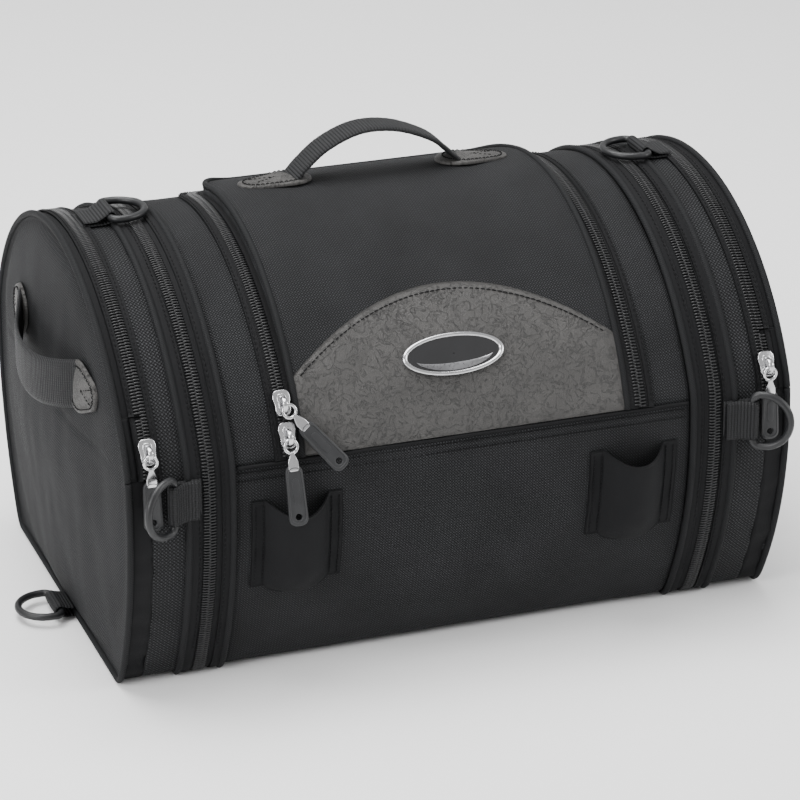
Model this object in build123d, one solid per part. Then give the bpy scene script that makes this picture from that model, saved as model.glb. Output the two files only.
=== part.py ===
"""Motorcycle tail bag: a soft barrel-shaped bag with a zipped lid, two expanding ends, straps and D-rings.

Frame: X along the bag, Y towards the back, Z up. The origin is the centre of the base on its resting surface.
All lengths are in millimetres. Every left-hand piece (negative X) is made first and mirrored for the right.
"""

import os
from math import cos, radians, sin

from build123d import *

# --- driving dimensions -------------------------------------------------------------------------
TOP_R = 168.0  # radius of the barrel's top arc
TOP_Z = 88.6  # height of that arc's centre
SEAM_ANGLE = 65.0  # where the top arc ends, from the vertical
BEND_R = 34.0  # soft bend below the lid's seam
SIDE_ANGLE = 84.0  # where the bend ends and the side arc begins
SIDE_R = 233.6  # radius of the front and back sides
CORNER_R = 20.0  # bottom edge
SKIN = 3.0  # fabric, foam and lining together
SEAM_Z = 150.0  # the lid's hinge seam, and the ends of the end zippers

MAIN_X = 149.0  # half length of the middle section
DIVIDER_X = 146.0  # inner face of the walls between the middle and the end pockets
EXPANSION_X = 165.0  # chain of the expansion zipper
END_ZIP_X = 201.0  # chain of the end zipper
END_X = 212.0  # inner face of the end panels
END_BULGE_X = 226.0  # outermost point of the end panels
BULGE_R = 943.0  # sphere that the end panels follow
TAPE = 7.0  # visible zipper tape beside a chain
GAP = 0.15  # half the gap between two zipper halves
TAPE_H = 2.0  # zipper tape and teeth above the fabric
PIPE = 2.5  # piping

LID_X = 107.3  # half width of the lid pad
LID_ZIP_X = 114.5  # half width to the lid zipper's chain
LID_BACK_Y = 60.0  # back edge of the lid pad
LID_CORNER_R = 28.0
LID_R = 163.0  # outer arc of the raised lid
LID_Z = 101.6  # its centre
LEATHER = 1.2

WIRE_R = 2.35  # D-ring wire
RING_HALF = 17.4  # half width of a D-ring on the wire's centre line
RING_BAR_R = 5.0  # the bar's corners
RING_SIDE = 2.0  # straight sides above those corners
RING_OFF = 5.5  # height of the bar's centre above the fabric
LOOP_T = 1.5
PLAY = 0.3  # clearance between pieces that move apart

HANDLE_W = 25.0  # webbing of the top handle
HANDLE_T = 3.0
SLIDER_L = 16.0
SLIDER_W = 12.0
SLIDER_T = 2.0
SLIDER_OFF = TAPE_H + 0.5  # underside of a slider above the fabric
PIVOT_H = 5.6  # a pull's pivot above that underside
PULL_W = 12.0
PULL_T = 2.4
LID_PULL_L = 52.0  # pulls, from pivot to tip
END_PULL_L = 47.0
LINK_L = 16.0  # the metal part of a pull

FAR = 400.0  # larger than the bag in every direction


# --- the barrel's section -----------------------------------------------------------------------
def polar(centre, radius, angle):
    """A point on an arc in the YZ plane, its angle measured from the vertical, towards the back."""
    a = radians(angle)
    return Vector(0, centre[0] + radius * sin(a), centre[1] + radius * cos(a))


TOP_C = (0.0, TOP_Z)
_b = polar(TOP_C, TOP_R - BEND_R, SEAM_ANGLE)
BEND_C = (_b.Y, _b.Z)
_s = polar(BEND_C, BEND_R - SIDE_R, SIDE_ANGLE)
SIDE_C = (_s.Y, _s.Z)


def corner_angle():
    """Where the side arc meets the bottom corner, from the vertical."""
    low, high = 90.0, 175.0
    for _ in range(60):
        mid = (low + high) / 2
        if polar(SIDE_C, SIDE_R - CORNER_R, mid).Z > CORNER_R:
            low = mid
        else:
            high = mid
    return low


SIDE_END = corner_angle()
_c = polar(SIDE_C, SIDE_R - CORNER_R, SIDE_END)
CORNER_C = (_c.Y, CORNER_R)


def section(off):
    """The bag's closed outline in the YZ plane, moved outward by off."""
    arcs = [
        (BEND_C, BEND_R, SEAM_ANGLE, SIDE_ANGLE),
        (SIDE_C, SIDE_R, SIDE_ANGLE, SIDE_END),
        (CORNER_C, CORNER_R, SIDE_END, 180.0),
    ]
    flip = lambda p: Vector(0, -p.Y, p.Z)
    edges = [ThreePointArc(*[polar(TOP_C, TOP_R + off, a) for a in (-SEAM_ANGLE, 0, SEAM_ANGLE)])]
    for centre, radius, a, b in arcs:
        points = [polar(centre, radius + off, t) for t in (a, (a + b) / 2, b)]
        edges.append(ThreePointArc(*points))
        edges.append(ThreePointArc(*[flip(p) for p in points]))
    foot = polar(CORNER_C, CORNER_R + off, 180.0)
    edges.append(Line(foot, flip(foot)))
    return Face(Wire.combine(edges)[0])


def between(low, high):
    """A box from one corner to the other."""
    size = [b - a for a, b in zip(low, high)]
    middle = [(a + b) / 2 for a, b in zip(low, high)]
    return Pos(*middle) * Box(*size)


ABOVE_FLOOR = between((-FAR, -FAR, 0), (FAR, FAR, FAR))


def slab(x0, x1, off):
    """The whole barrel between two stations along X."""
    return extrude(Pos(x0, 0, 0) * section(off), x1 - x0, dir=(1, 0, 0))


def ring(x0, x1, inner, outer):
    """A hoop round the barrel, cut off at the resting surface."""
    return (slab(x0, x1, outer) - slab(x0, x1, inner)) & ABOVE_FLOOR


def u_outline(half_x, back_y, corner):
    """A prism over the lid's plan: straight sides, and rounded corners at the back."""
    plan = Pos(0, back_y - FAR / 2) * RectangleRounded(2 * half_x, FAR, corner)
    return Pos(0, 0, SEAM_Z) * extrude(plan, FAR)


def grown(by):
    """The lid pad's plan, grown by a margin."""
    return u_outline(LID_X + by, LID_BACK_Y + by, LID_CORNER_R + by)


def lid_arc(x0, x1, off):
    """Everything under the lid's raised outer arc, between two stations along X."""
    barrel = Rot(0, 90, 0) * Cylinder(LID_R + off, x1 - x0)
    return Pos((x0 + x1) / 2, 0, LID_Z) * barrel


def mirrored(shape):
    return mirror(shape, about=Plane.YZ)


def shapes(*items):
    return Compound(children=[s for item in items for s in item.solids()])


nodes = {}


def both_sides(name, shape):
    """Keeps a left-hand piece and its mirror image."""
    nodes["left_" + name] = shape
    nodes["right_" + name] = mirrored(shape)


# --- the middle section -------------------------------------------------------------------------
LID_EDGE = SEAM_Z + 0.4  # lowest edge of the moving lid


def middle_section():
    shell = ring(-MAIN_X, MAIN_X, -SKIN, 0)
    split_y = LID_BACK_Y + 20
    opening = grown(LID_ZIP_X - LID_X)
    nodes["base_panel"] = shell & between((-FAR, -FAR, 0), (FAR, FAR, CORNER_R))
    nodes["front_panel"] = shell & between((-FAR, -FAR, CORNER_R), (FAR, 0, SEAM_Z))
    nodes["back_panel"] = shell & between((-FAR, split_y, CORNER_R), (FAR, FAR, FAR))
    upper = (shell & between((-FAR, -FAR, SEAM_Z), (FAR, split_y, FAR))) - opening
    both_sides("shoulder", upper & between((-FAR, -FAR, 0), (0, FAR, FAR)))
    nodes["base_board"] = between((-140, -100, SKIN), (140, 100, SKIN + 3))
    wall = slab(-DIVIDER_X - 2, -DIVIDER_X, -SKIN)
    nodes["dividers"] = shapes(wall, mirrored(wall))
    piping = ring(-MAIN_X - PIPE, -MAIN_X, -SKIN, PIPE)
    nodes["inner_piping"] = shapes(piping, mirrored(piping))
    tape = ring(-EXPANSION_X + GAP, -MAIN_X - PIPE, -SKIN, TAPE_H)
    nodes["expansion_zip_inner"] = shapes(tape, mirrored(tape))
    pleat = ring(-EXPANSION_X + GAP, -MAIN_X - PIPE, -SKIN - 4, -SKIN)
    nodes["expansion_pleats"] = shapes(pleat, mirrored(pleat))
    chain = LID_ZIP_X - LID_X + GAP
    hoop = ring(-MAIN_X, MAIN_X, 0, TAPE_H) & between((-FAR, -FAR, LID_EDGE), (FAR, FAR, FAR))
    nodes["lid_zip_body"] = hoop & (grown(chain + TAPE) - grown(chain))


# --- the light pockets on the front ---------------------------------------------------------------
POCKET_X = -110.0
POCKET_Z = (61.0, 118.0)
POCKET_HALF = 20.0
POCKET_DEPTH = 15.0
FLANGE_HALF = 29.0
FLANGE_Z = (68.0, 127.0)
POCKET_LEAN = 8.0  # the front leans in towards the base


def light_pocket():
    """An open-topped pouch with a flat stitched flange on each side."""
    height = POCKET_Z[1] - POCKET_Z[0]
    pouch = extrude(Ellipse(POCKET_HALF, POCKET_DEPTH + 8), height)
    hollow = Pos(0, 0, 2) * extrude(Ellipse(POCKET_HALF - 2, POCKET_DEPTH + 6), height)
    front_y = -146.0
    place = Pos(POCKET_X, front_y + 6, POCKET_Z[0]) * Rot(POCKET_LEAN, 0, 0)
    skin = ring(POCKET_X - FLANGE_HALF, POCKET_X + FLANGE_HALF, 0, 1.5)
    reach = between((-FAR, -FAR, FLANGE_Z[0]), (FAR, 0, FLANGE_Z[1]))
    body = place * pouch + (skin & reach)
    body = body - place * hollow - slab(-MAIN_X, MAIN_X, 0)
    return max(body.solids(), key=lambda s: s.volume)


# --- the lid ------------------------------------------------------------------------------------
TAB_Y = 15.0  # the top handle's line
HANDLE_HALF = 60.0  # half of the handle's span
HANDLE_PIVOT_Z = 279.0
HANDLE_TOP_Z = 303.0


def lid():
    above = between((-FAR, -FAR, LID_EDGE), (FAR, FAR, FAR))
    pad = lid_arc(-LID_X, LID_X, 0) & grown(0) & above
    nodes["lid_panel"] = pad - slab(-FAR, FAR, -SKIN)
    nodes["lid_piping"] = (lid_arc(-LID_X, LID_X, 1.6) - lid_arc(-FAR, FAR, 0)) & (
        grown(0) - grown(-2.5)
    ) & between((-FAR, -FAR, LID_EDGE + 1), (FAR, FAR, FAR))
    chain = LID_ZIP_X - LID_X - GAP
    hoop = ring(-MAIN_X, MAIN_X, 0, TAPE_H) & above
    nodes["lid_zip_lid"] = hoop & (grown(chain) - grown(0))
    # leather half-oval: an arch over the seam, across the whole pad
    arch_side, arch_top, half = 193.0, 225.0, LID_X - 2.6
    arch = ThreePointArc((-half, arch_side), (0, arch_top), (half, arch_side))
    base = Polyline((half, arch_side), (half, LID_EDGE + 1), (-half, LID_EDGE + 1), (-half, arch_side))
    face = Face(Wire.combine([arch, base])[0])
    prism = extrude(Rot(90, 0, 0) * face, FAR, dir=(0, -1, 0))
    nodes["leather_patch"] = (lid_arc(-half, half, LEATHER) - lid_arc(-FAR, FAR, 0)) & prism
    # oval badge
    badge_angle = -56.2
    centre = polar((0, LID_Z), LID_R + LEATHER, badge_angle)
    place = Pos(-2, centre.Y, centre.Z) * Rot(-badge_angle, 0, 0)
    oval = extrude(Ellipse(33.0, 13.5), 2.4)
    recess = Pos(0, 0, 1.0) * extrude(Ellipse(29.5, 10.6), 4)
    nodes["badge_bezel"] = place * (oval - recess)
    nodes["badge_inlay"] = place * (Pos(0, 0, 1.0) * extrude(Ellipse(29.5, 10.6), 1.0))


def strap_arch(half, rise, width, thick):
    """A strap bent into an arch in the XZ plane, feet on z = 0, its width along Y."""
    outer = ThreePointArc((-half, 0), (0, rise), (half, 0))
    inner = ThreePointArc((half - thick, 0), (0, rise - thick), (-half + thick, 0))
    feet = [Line((half, 0), (half - thick, 0)), Line((-half + thick, 0), (-half, 0))]
    face = Face(Wire.combine([outer, inner] + feet)[0])
    return Pos(0, width / 2, 0) * extrude(Rot(90, 0, 0) * face, width, dir=(0, -1, 0))


def swinging_strap(half, rise, width, thick):
    """The strap above its pivots, with round ends below them, so that it can swing about its feet."""
    feet = width / 2 - 0.5
    arch = Pos(0, 0, -feet) * strap_arch(half, rise + feet, width, thick)
    keep = Rot(0, 90, 0) * Cylinder(width / 2, 2 * FAR)
    return arch & (keep + between((-FAR, -width / 2, 0), (FAR, width / 2, FAR)))


def leather_tab(length, width, thick):
    """A teardrop tab lying flat, its round end at the origin and its point towards -X."""
    r = width / 2
    blunt = extrude(Circle(r), thick)
    point = extrude(Pos(-length + r + 6, 0) * Circle(6), thick)
    side = [(0, r), (-length + r + 6, 6), (-length + r + 6, -6), (0, -r)]
    return blunt + point + extrude(make_face(Polyline(*side, close=True)), thick)


def top_handle():
    """The webbing handle and the two leather tabs that hold it to the lid."""
    tab = Pos(-HANDLE_HALF + 4, TAB_Y, 0) * leather_tab(48, 26, FAR)
    cover = lid_arc(-LID_X, LID_X, 2.4) - lid_arc(-FAR, FAR, 0)
    tab = cover & (Pos(0, 0, LID_Z) * tab)
    nodes["handle_tabs"] = shapes(tab, mirrored(tab))
    strap = swinging_strap(HANDLE_HALF, HANDLE_TOP_Z - HANDLE_PIVOT_Z, HANDLE_W, HANDLE_T)
    nodes["top_handle"] = Pos(0, TAB_Y, HANDLE_PIVOT_Z) * strap


# --- zipper sliders and pulls ---------------------------------------------------------------------
def on_arc(x, angle, height):
    """A frame on the top arc: X along the bag, Y up along the surface, Z outward."""
    p = polar(TOP_C, TOP_R + height, -angle)
    return Pos(x, p.Y, p.Z) * Rot(angle, 0, 0)


def slider():
    """Body plate and hook of a zipper slider, the plate's underside on z = 0 and its pivot over the origin."""
    plate = Pos(0, 3, 0) * extrude(RectangleRounded(SLIDER_W, SLIDER_L, 3.5), SLIDER_T)
    waist = Pos(SLIDER_W / 2 + 2.2, 5, 0) * Cylinder(3.5, 20)
    plate = plate - waist - mirrored(waist)
    under, top = PIVOT_H + 2.6, PIVOT_H + 3.6
    hook = [(2.8, SLIDER_T), (5.4, SLIDER_T), (5.4, top), (-2.6, top), (-2.6, under), (2.8, under)]
    profile = make_face(Polyline(*hook, close=True))
    hook = extrude(Plane.YZ * profile, 1.5, both=True)
    return plate + hook


def pull_link():
    """Metal ring and stem of a pull: pivot at the origin, hanging towards -Y."""
    loop = Pos(0, -4.0, 0) * Torus(4.0, 0.9)
    stem = between((-2.5, -LINK_L, -0.8), (2.5, -7.8, 0.8))
    return loop + stem


def pull_tab(reach):
    """Rubber tab below the link, with a hole near its end, out to a reach from the pivot."""
    length = reach - LINK_L
    plate = extrude(RectangleRounded(PULL_W, length, 4.5), PULL_T / 2, both=True)
    hole = Pos(0, -length / 2 + 5, 0) * Cylinder(2.0, 10)
    return Pos(0, -LINK_L - length / 2, 0) * (plate - hole)


def pull_place(x, angle, lean, turn):
    """Frame of a pull at its pivot. lean is its angle from the vertical, turn its swing sideways."""
    p = polar(TOP_C, TOP_R + SLIDER_OFF + PIVOT_H, -angle)
    return Pos(x, p.Y, p.Z) * Rot(90 - lean, 0, 0) * Rot(0, 0, turn)


LID_UPPER = 57.7  # the sliders' places on the top arc, from the vertical
LID_LOWER = 64.3
END_SLIDER = 63.7
EXPANSION_SLIDER = 106.0


def sliders():
    for name, angle, lean, turn in (("upper", LID_UPPER, 24, 38), ("lower", LID_LOWER, 18, 0)):
        nodes[f"lid_slider_{name}"] = on_arc(-LID_ZIP_X, angle, SLIDER_OFF) * slider()
        place = pull_place(-LID_ZIP_X, angle, lean, turn)
        nodes[f"lid_pull_link_{name}"] = place * pull_link()
        nodes[f"lid_pull_tab_{name}"] = place * pull_tab(LID_PULL_L)
    both_sides("end_slider", on_arc(-END_ZIP_X, END_SLIDER, SLIDER_OFF) * slider())
    place = pull_place(-END_ZIP_X, END_SLIDER, 4, 0)
    both_sides("end_pull", shapes(place * pull_link(), place * pull_tab(END_PULL_L)))
    # one slider parked low on the back of each expansion zipper, its short pull lying flat
    back = polar(SIDE_C, SIDE_R + SLIDER_OFF, EXPANSION_SLIDER)
    outward = polar((0, 0), 1, EXPANSION_SLIDER)
    place = Plane(origin=(-EXPANSION_X, back.Y, back.Z), x_dir=(-1, 0, 0), z_dir=outward).location
    body = slider() + Pos(0, -6, SLIDER_T) * extrude(RectangleRounded(6, 18, 2.5), 2.2)
    both_sides("expansion_slider", place * body)


# --- the expanding ends ---------------------------------------------------------------------------
END_RIM_X = 216.0  # the flat rim behind the end piping
NOTCH_Z = 184.0  # in front, the end zipper stays closed below this, under its parked slider
FLAP_RIM_X = END_ZIP_X + TAPE


def end_sections():
    low = between((-FAR, -FAR, 0), (0, FAR, SEAM_Z))
    high = between((-FAR, -FAR, SEAM_Z + 0.6), (0, FAR, FAR))
    # the part of the rim that opens with the flap
    rim = high & between((-FAR, -FAR, 0), (-END_ZIP_X - GAP, FAR, FAR))
    parked = between((-FLAP_RIM_X, -FAR, 0), (0, 0, NOTCH_Z))
    rim = rim - parked
    rim_room = between((-FAR, -FAR, SEAM_Z), (-END_ZIP_X + GAP, FAR, FAR)) - between(
        (-FLAP_RIM_X + PLAY, -FAR, 0), (0, 0, NOTCH_Z - PLAY)
    )
    both_sides("gusset", ring(-END_X, -EXPANSION_X - GAP, -SKIN, 0) - rim_room)
    expansion = ring(-EXPANSION_X - GAP - TAPE - 3, -EXPANSION_X - GAP, 0, TAPE_H)
    end_zip = ring(-FLAP_RIM_X, -END_ZIP_X + TAPE, 0, TAPE_H) & high
    both_sides("zip_tapes", shapes(expansion, end_zip - rim_room))
    middle_pipe = ring(-180, -180 + PIPE, 0, PIPE)
    end_pipe = ring(-216.5, -216.5 + PIPE, 0, PIPE)
    both_sides("pipings", shapes(middle_pipe, end_pipe & low))
    dome = Pos(-END_BULGE_X + BULGE_R, 0, 128) * Sphere(BULGE_R)
    # the wall is domed, and at least as thick as its piping out to the corners
    panel = (slab(-END_BULGE_X - 4, -END_X, 0) & dome) + slab(-END_RIM_X, -END_X, 0)
    both_sides("end_panel", panel & low)
    skirt = ring(-END_X, -END_ZIP_X - GAP, -SKIN, 0) & rim
    both_sides("flap_panel", (panel & high) + skirt)
    both_sides("flap_zip", ring(-FLAP_RIM_X, -END_ZIP_X - GAP, 0, TAPE_H) & rim)
    both_sides("flap_piping", end_pipe & high)
    side_handle(panel)


SIDE_HANDLE_Z = 184.0
SIDE_HANDLE_W = 32.0
SIDE_HANDLE_Y = -12.0
SIDE_HALF = 66.0
SIDE_PIVOT_X = -243.0


def side_handle(panel):
    """A carrying strap across the end panel, and the leather tabs at its two ends."""
    shell = slab(-END_BULGE_X - 8, -END_X, 0) & (
        Pos(-END_BULGE_X - 2.4 + BULGE_R, 0, 128) * Sphere(BULGE_R)
    )
    shell = shell - panel
    outline = Pos(-SIDE_HALF - 2, 0, 0) * leather_tab(40, 31, FAR)
    outline = outline + mirrored(outline)
    place = Pos(0, SIDE_HANDLE_Y, SIDE_HANDLE_Z) * Rot(0, -90, 0) * Rot(0, 0, 90)
    both_sides("side_handle_tabs", shapes(shell & (place * outline)))
    strap = swinging_strap(SIDE_HALF, 9.0, SIDE_HANDLE_W, HANDLE_T)
    place = Pos(SIDE_PIVOT_X, SIDE_HANDLE_Y, SIDE_HANDLE_Z) * Rot(0, -90, 0) * Rot(0, 0, 90)
    both_sides("side_handle", place * strap)


# --- D-rings ------------------------------------------------------------------------------------
def d_ring():
    """A wire D: the bar along X through the origin, the bow towards +Y."""
    a, r = RING_HALF, RING_BAR_R
    side = r + RING_SIDE
    k = r * (1 - cos(radians(45)))
    path = [
        Line((-a + r, 0), (a - r, 0)),
        ThreePointArc((a - r, 0), (a - k, k), (a, r)),
        Line((a, r), (a, side)),
        ThreePointArc((a, side), (0, side + a), (-a, side)),
        Line((-a, side), (-a, r)),
        ThreePointArc((-a, r), (-a + k, k), (-a + r, 0)),
    ]
    start = Plane(origin=(0, 0, 0), z_dir=(1, 0, 0))
    path = [Line((0, 0), (a - r, 0))] + path[1:] + [Line((-a + r, 0), (0, 0))]
    return sweep(start * Circle(WIRE_R), path=Wire.combine(path)[0])


def ring_loop(tail):
    """Webbing folded round a D-ring's bar, with a flat tail towards -Y."""
    inner = WIRE_R + PLAY
    outer = inner + LOOP_T
    half = (RING_HALF - RING_BAR_R) - 0.4
    fold = Rot(0, 90, 0) * (Cylinder(outer, 2 * half) - Cylinder(inner, 2 * half + 2))
    flat = between((-half, -tail, -RING_OFF), (half, 0, -inner - 0.05))
    return fold + (flat - Rot(0, 90, 0) * Cylinder(inner, 2 * half + 2))


def frame_at(origin, along, out):
    """A frame with X along one direction, and Y along the other."""
    return Plane(origin=origin, x_dir=along, z_dir=Vector(*along).cross(Vector(*out))).location


TOP_RING = (-180.0, 5.0, TOP_Z + TOP_R + RING_OFF)
FRONT_RING = (-188.0, SIDE_C[0] * -1 - SIDE_R - RING_OFF, 135.0)
BOTTOM_RING = (-226.0, -12.0, 6.6)
FRONT_TILT = 35.0  # how far the front rings stand forward of the end


def d_rings():
    t = radians(FRONT_TILT)
    places = {
        "top": (TOP_RING, (0, -1, 0), (1, 0, 0), (1, 0, 0)),
        "front": (FRONT_RING, (0, 0, 1), (-1, 0, 0), (-cos(t), -sin(t), 0)),
        "bottom": (BOTTOM_RING, (0, 1, 0), (-1, 0, 0), (-1, 0, 0)),
    }
    bag = slab(-END_BULGE_X, 0, 0) & (Pos(-END_BULGE_X + BULGE_R, 0, 128) * Sphere(BULGE_R))
    bag = bag + slab(-END_RIM_X, -END_X, 0)
    pipes = ring(-180, -180 + PIPE, 0, PIPE) + ring(-216.5, -216.5 + PIPE, 0, PIPE)
    loops = []
    for name, (origin, along, flat, out) in places.items():
        both_sides(f"{name}_ring", frame_at(origin, along, out) * d_ring())
        loop = frame_at(origin, along, flat) * ring_loop(8)
        loops.append(loop - bag - pipes)
    both_sides("ring_loops", shapes(*[max(s.solids(), key=lambda q: q.volume) for s in loops]))


middle_section()
both_sides("light_pocket", light_pocket())
lid()
top_handle()
sliders()
end_sections()
d_rings()

os.makedirs("parts", exist_ok=True)
for name, shape in nodes.items():
    export_step(shape, f"parts/{name}.step")
print(len(nodes), "nodes")
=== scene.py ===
"""Looks of the tail bag: cloth, zippers, leather, straps and metal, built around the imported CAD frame.

Lengths are in millimetres until a mesh is made; mesh() turns them into metres.
The bag's outside is described by two coordinates: x along the bag, and s, the length round its section
from the top centre line, negative towards the front. surf(x, s, off) gives the point at a height off
above the cloth.
"""

import math

import bmesh
import bpy
import numpy as np
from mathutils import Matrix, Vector, noise


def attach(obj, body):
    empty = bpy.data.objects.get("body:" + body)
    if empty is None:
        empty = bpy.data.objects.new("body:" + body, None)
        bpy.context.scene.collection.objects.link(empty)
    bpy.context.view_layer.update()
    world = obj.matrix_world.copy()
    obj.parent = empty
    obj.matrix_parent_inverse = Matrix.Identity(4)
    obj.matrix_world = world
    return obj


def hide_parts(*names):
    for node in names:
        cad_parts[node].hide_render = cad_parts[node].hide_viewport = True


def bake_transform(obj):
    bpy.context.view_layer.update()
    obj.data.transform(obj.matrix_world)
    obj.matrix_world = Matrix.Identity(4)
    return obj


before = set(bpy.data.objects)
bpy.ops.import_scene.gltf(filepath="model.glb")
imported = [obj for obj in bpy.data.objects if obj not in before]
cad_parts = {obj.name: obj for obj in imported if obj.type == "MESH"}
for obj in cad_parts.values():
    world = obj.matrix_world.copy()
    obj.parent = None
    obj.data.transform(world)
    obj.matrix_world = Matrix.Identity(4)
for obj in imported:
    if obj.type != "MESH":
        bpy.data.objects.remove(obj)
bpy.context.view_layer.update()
MM = 0.001

# --- the bag's section, as in the CAD model --------------------------------------------------------
TOP_R, TOP_Z = 168.0, 88.6
SEAM_ANGLE, SIDE_ANGLE = 65.0, 84.0
BEND_R, SIDE_R, CORNER_R = 34.0, 233.6, 20.0
LID_R, LID_Z = 163.0, 101.6
MAIN_X, EXPANSION_X, END_ZIP_X = 149.0, 165.0, 201.0
LID_X, LID_ZIP_X, LID_BACK_Y, LID_CORNER = 107.3, 114.5, 60.0, 28.0
SEAM_Z = 150.0


def section_table():
    """s, y, z and outward normal every half millimetre from the top to the middle of the base."""
    def spot(centre, radius, angle):
        a = math.radians(angle)
        return centre[0] + radius * math.sin(a), centre[1] + radius * math.cos(a)

    bend = spot((0, TOP_Z), TOP_R - BEND_R, SEAM_ANGLE)
    side = spot(bend, BEND_R - SIDE_R, SIDE_ANGLE)
    end = math.degrees(math.acos((CORNER_R - side[1]) / (SIDE_R - CORNER_R)))
    corner = spot(side, SIDE_R - CORNER_R, end)
    rows, length = [], 0.0
    arcs = (((0, TOP_Z), TOP_R, 0, SEAM_ANGLE), (bend, BEND_R, SEAM_ANGLE, SIDE_ANGLE),
            (side, SIDE_R, SIDE_ANGLE, end), (corner, CORNER_R, end, 180))
    for centre, radius, a, b in arcs:
        count = max(8, int(math.radians(b - a) * radius / 0.5))
        for t in np.linspace(0, 1, count, endpoint=False):
            angle = math.radians(a + t * (b - a))
            y, z = centre[0] + radius * math.sin(angle), centre[1] + radius * math.cos(angle)
            rows.append((length + t * math.radians(b - a) * radius, y, z, math.sin(angle), math.cos(angle)))
        length += math.radians(b - a) * radius
    for t in np.linspace(0, 1, 60):
        rows.append((length + t * corner[0], corner[0] * (1 - t), 0.0, 0.0, -1.0))
    return np.array(rows)


TABLE = section_table()
S_MAX = TABLE[-1, 0]


def prof(s, off=0.0):
    """y, z and the outward normal at s, raised by off."""
    s = np.asarray(s, float)
    side = np.where(s < 0, -1.0, 1.0)
    y, z, ny, nz = (np.interp(np.abs(s), TABLE[:, 0], TABLE[:, k]) for k in (1, 2, 3, 4))
    return side * (y + ny * off), z + nz * off, side * ny, nz


def surf(x, s, off=0.0):
    x, s, off = np.broadcast_arrays(np.asarray(x, float), np.asarray(s, float), np.asarray(off, float))
    y, z, _, _ = prof(s, off)
    # what lies under the base is pressed flat by the bag's weight
    z = np.where(z < 0, z * 0.1, z)
    return np.stack([x, y, z], -1)


def normal(s):
    _, _, ny, nz = prof(s)
    return np.stack([np.zeros_like(ny), ny, nz], -1)


def s_at(z, front=True):
    """The s where the section's side is at height z, above the bottom corner."""
    order = TABLE[:, 2][::-1]
    s = float(np.interp(z, order, TABLE[:, 0][::-1]))
    return -s if front else s


def s_top(y):
    """The s on the top arc over a given y."""
    return math.asin(y / TOP_R) * TOP_R


def lid_rise(s):
    """How far the padded lid stands above the rest of the bag."""
    a = np.clip(np.abs(np.asarray(s, float)) / TOP_R, 0, math.radians(SEAM_ANGLE))
    lift = LID_Z - TOP_Z
    return lift * np.cos(a) + np.sqrt(LID_R ** 2 - (lift * np.sin(a)) ** 2) - TOP_R


S_SEAM = s_at(SEAM_Z)
S_BACK = s_top(LID_BACK_Y)


def wobble(points, scale, size, seed=0.0):
    """Smooth noise from -size to size at each point."""
    shift = Vector((seed, seed * 1.7, -seed))
    return np.array([noise.noise(Vector(p) / scale + shift) for p in points]) * size


# --- meshes ----------------------------------------------------------------------------------------
def mesh(name, verts, faces, material, cloth=None, smooth=True):
    """A mesh object from points in millimetres. cloth holds weave coordinates, in millimetres, per point."""
    verts = np.asarray(verts, float).reshape(-1, 3)
    data = bpy.data.meshes.new(name)
    data.from_pydata((verts * MM).tolist(), [], [tuple(int(i) for i in f) for f in faces])
    data.validate()
    if cloth is not None:
        layer = data.attributes.new("weave", "FLOAT_VECTOR", "POINT")
        flat = np.zeros((len(verts), 3), np.float32)
        flat[:, :2] = np.asarray(cloth, float).reshape(-1, 2)
        layer.data.foreach_set("vector", flat.ravel())
    if smooth:
        data.polygons.foreach_set("use_smooth", [True] * len(data.polygons))
    obj = bpy.data.objects.new(name, data)
    bpy.context.scene.collection.objects.link(obj)
    obj.data.materials.append(material)
    return obj


def grid_faces(rows, cols, closed_rows=False, closed_cols=False):
    """Quads between the points of a grid, which may join up round its rows or columns."""
    faces = []
    for i in range(rows if closed_rows else rows - 1):
        for j in range(cols if closed_cols else cols - 1):
            a, b = i * cols + j, i * cols + (j + 1) % cols
            c, d = ((i + 1) % rows) * cols + (j + 1) % cols, ((i + 1) % rows) * cols + j
            faces.append((a, b, c, d))
    return faces


class Pile:
    """Collects many small pieces into one mesh."""

    def __init__(self):
        self.verts, self.faces, self.cloth, self.count = [], [], [], 0

    def add(self, verts, faces, cloth=None):
        verts = np.asarray(verts, float).reshape(-1, 3)
        self.verts.append(verts)
        self.faces += [tuple(i + self.count for i in f) for f in faces]
        self.cloth.append(verts[:, :2] if cloth is None else np.asarray(cloth, float).reshape(-1, 2))
        self.count += len(verts)

    def make(self, name, material):
        return mesh(name, np.concatenate(self.verts), self.faces, material, np.concatenate(self.cloth))


def sheet_faces(n, m):
    """Faces of a sheet on an n by m grid, its upper points followed by its lower ones, with closed edges."""
    faces = grid_faces(n, m)
    faces += [tuple(i + n * m for i in f[::-1]) for f in faces]
    edge = [(i, 0) for i in range(n)] + [(n - 1, j) for j in range(1, m)]
    edge += [(i, m - 1) for i in range(n - 2, -1, -1)] + [(0, j) for j in range(m - 2, 0, -1)]
    loop = [i * m + j for i, j in edge]
    for a, b in zip(loop, loop[1:] + loop[:1]):
        faces.append((b, a, a + n * m, b + n * m))
    return faces


def slab_sheet(pile, xs, ss, off, thick, lift=None):
    """A strip of cloth on the bag with real thickness and closed edges. off may vary over the grid."""
    X, S = np.meshgrid(xs, ss, indexing="ij")
    top = np.broadcast_to(off, X.shape).astype(float)
    if lift is not None:
        top = top + lift(X, S)
    n, m = X.shape
    upper, lower = surf(X, S, top), surf(X, S, top - thick)
    cloth = np.stack([X, S], -1).reshape(-1, 2)
    verts = np.concatenate([upper.reshape(-1, 3), lower.reshape(-1, 3)])
    pile.add(verts, sheet_faces(n, m), np.concatenate([cloth, cloth]))


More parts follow.
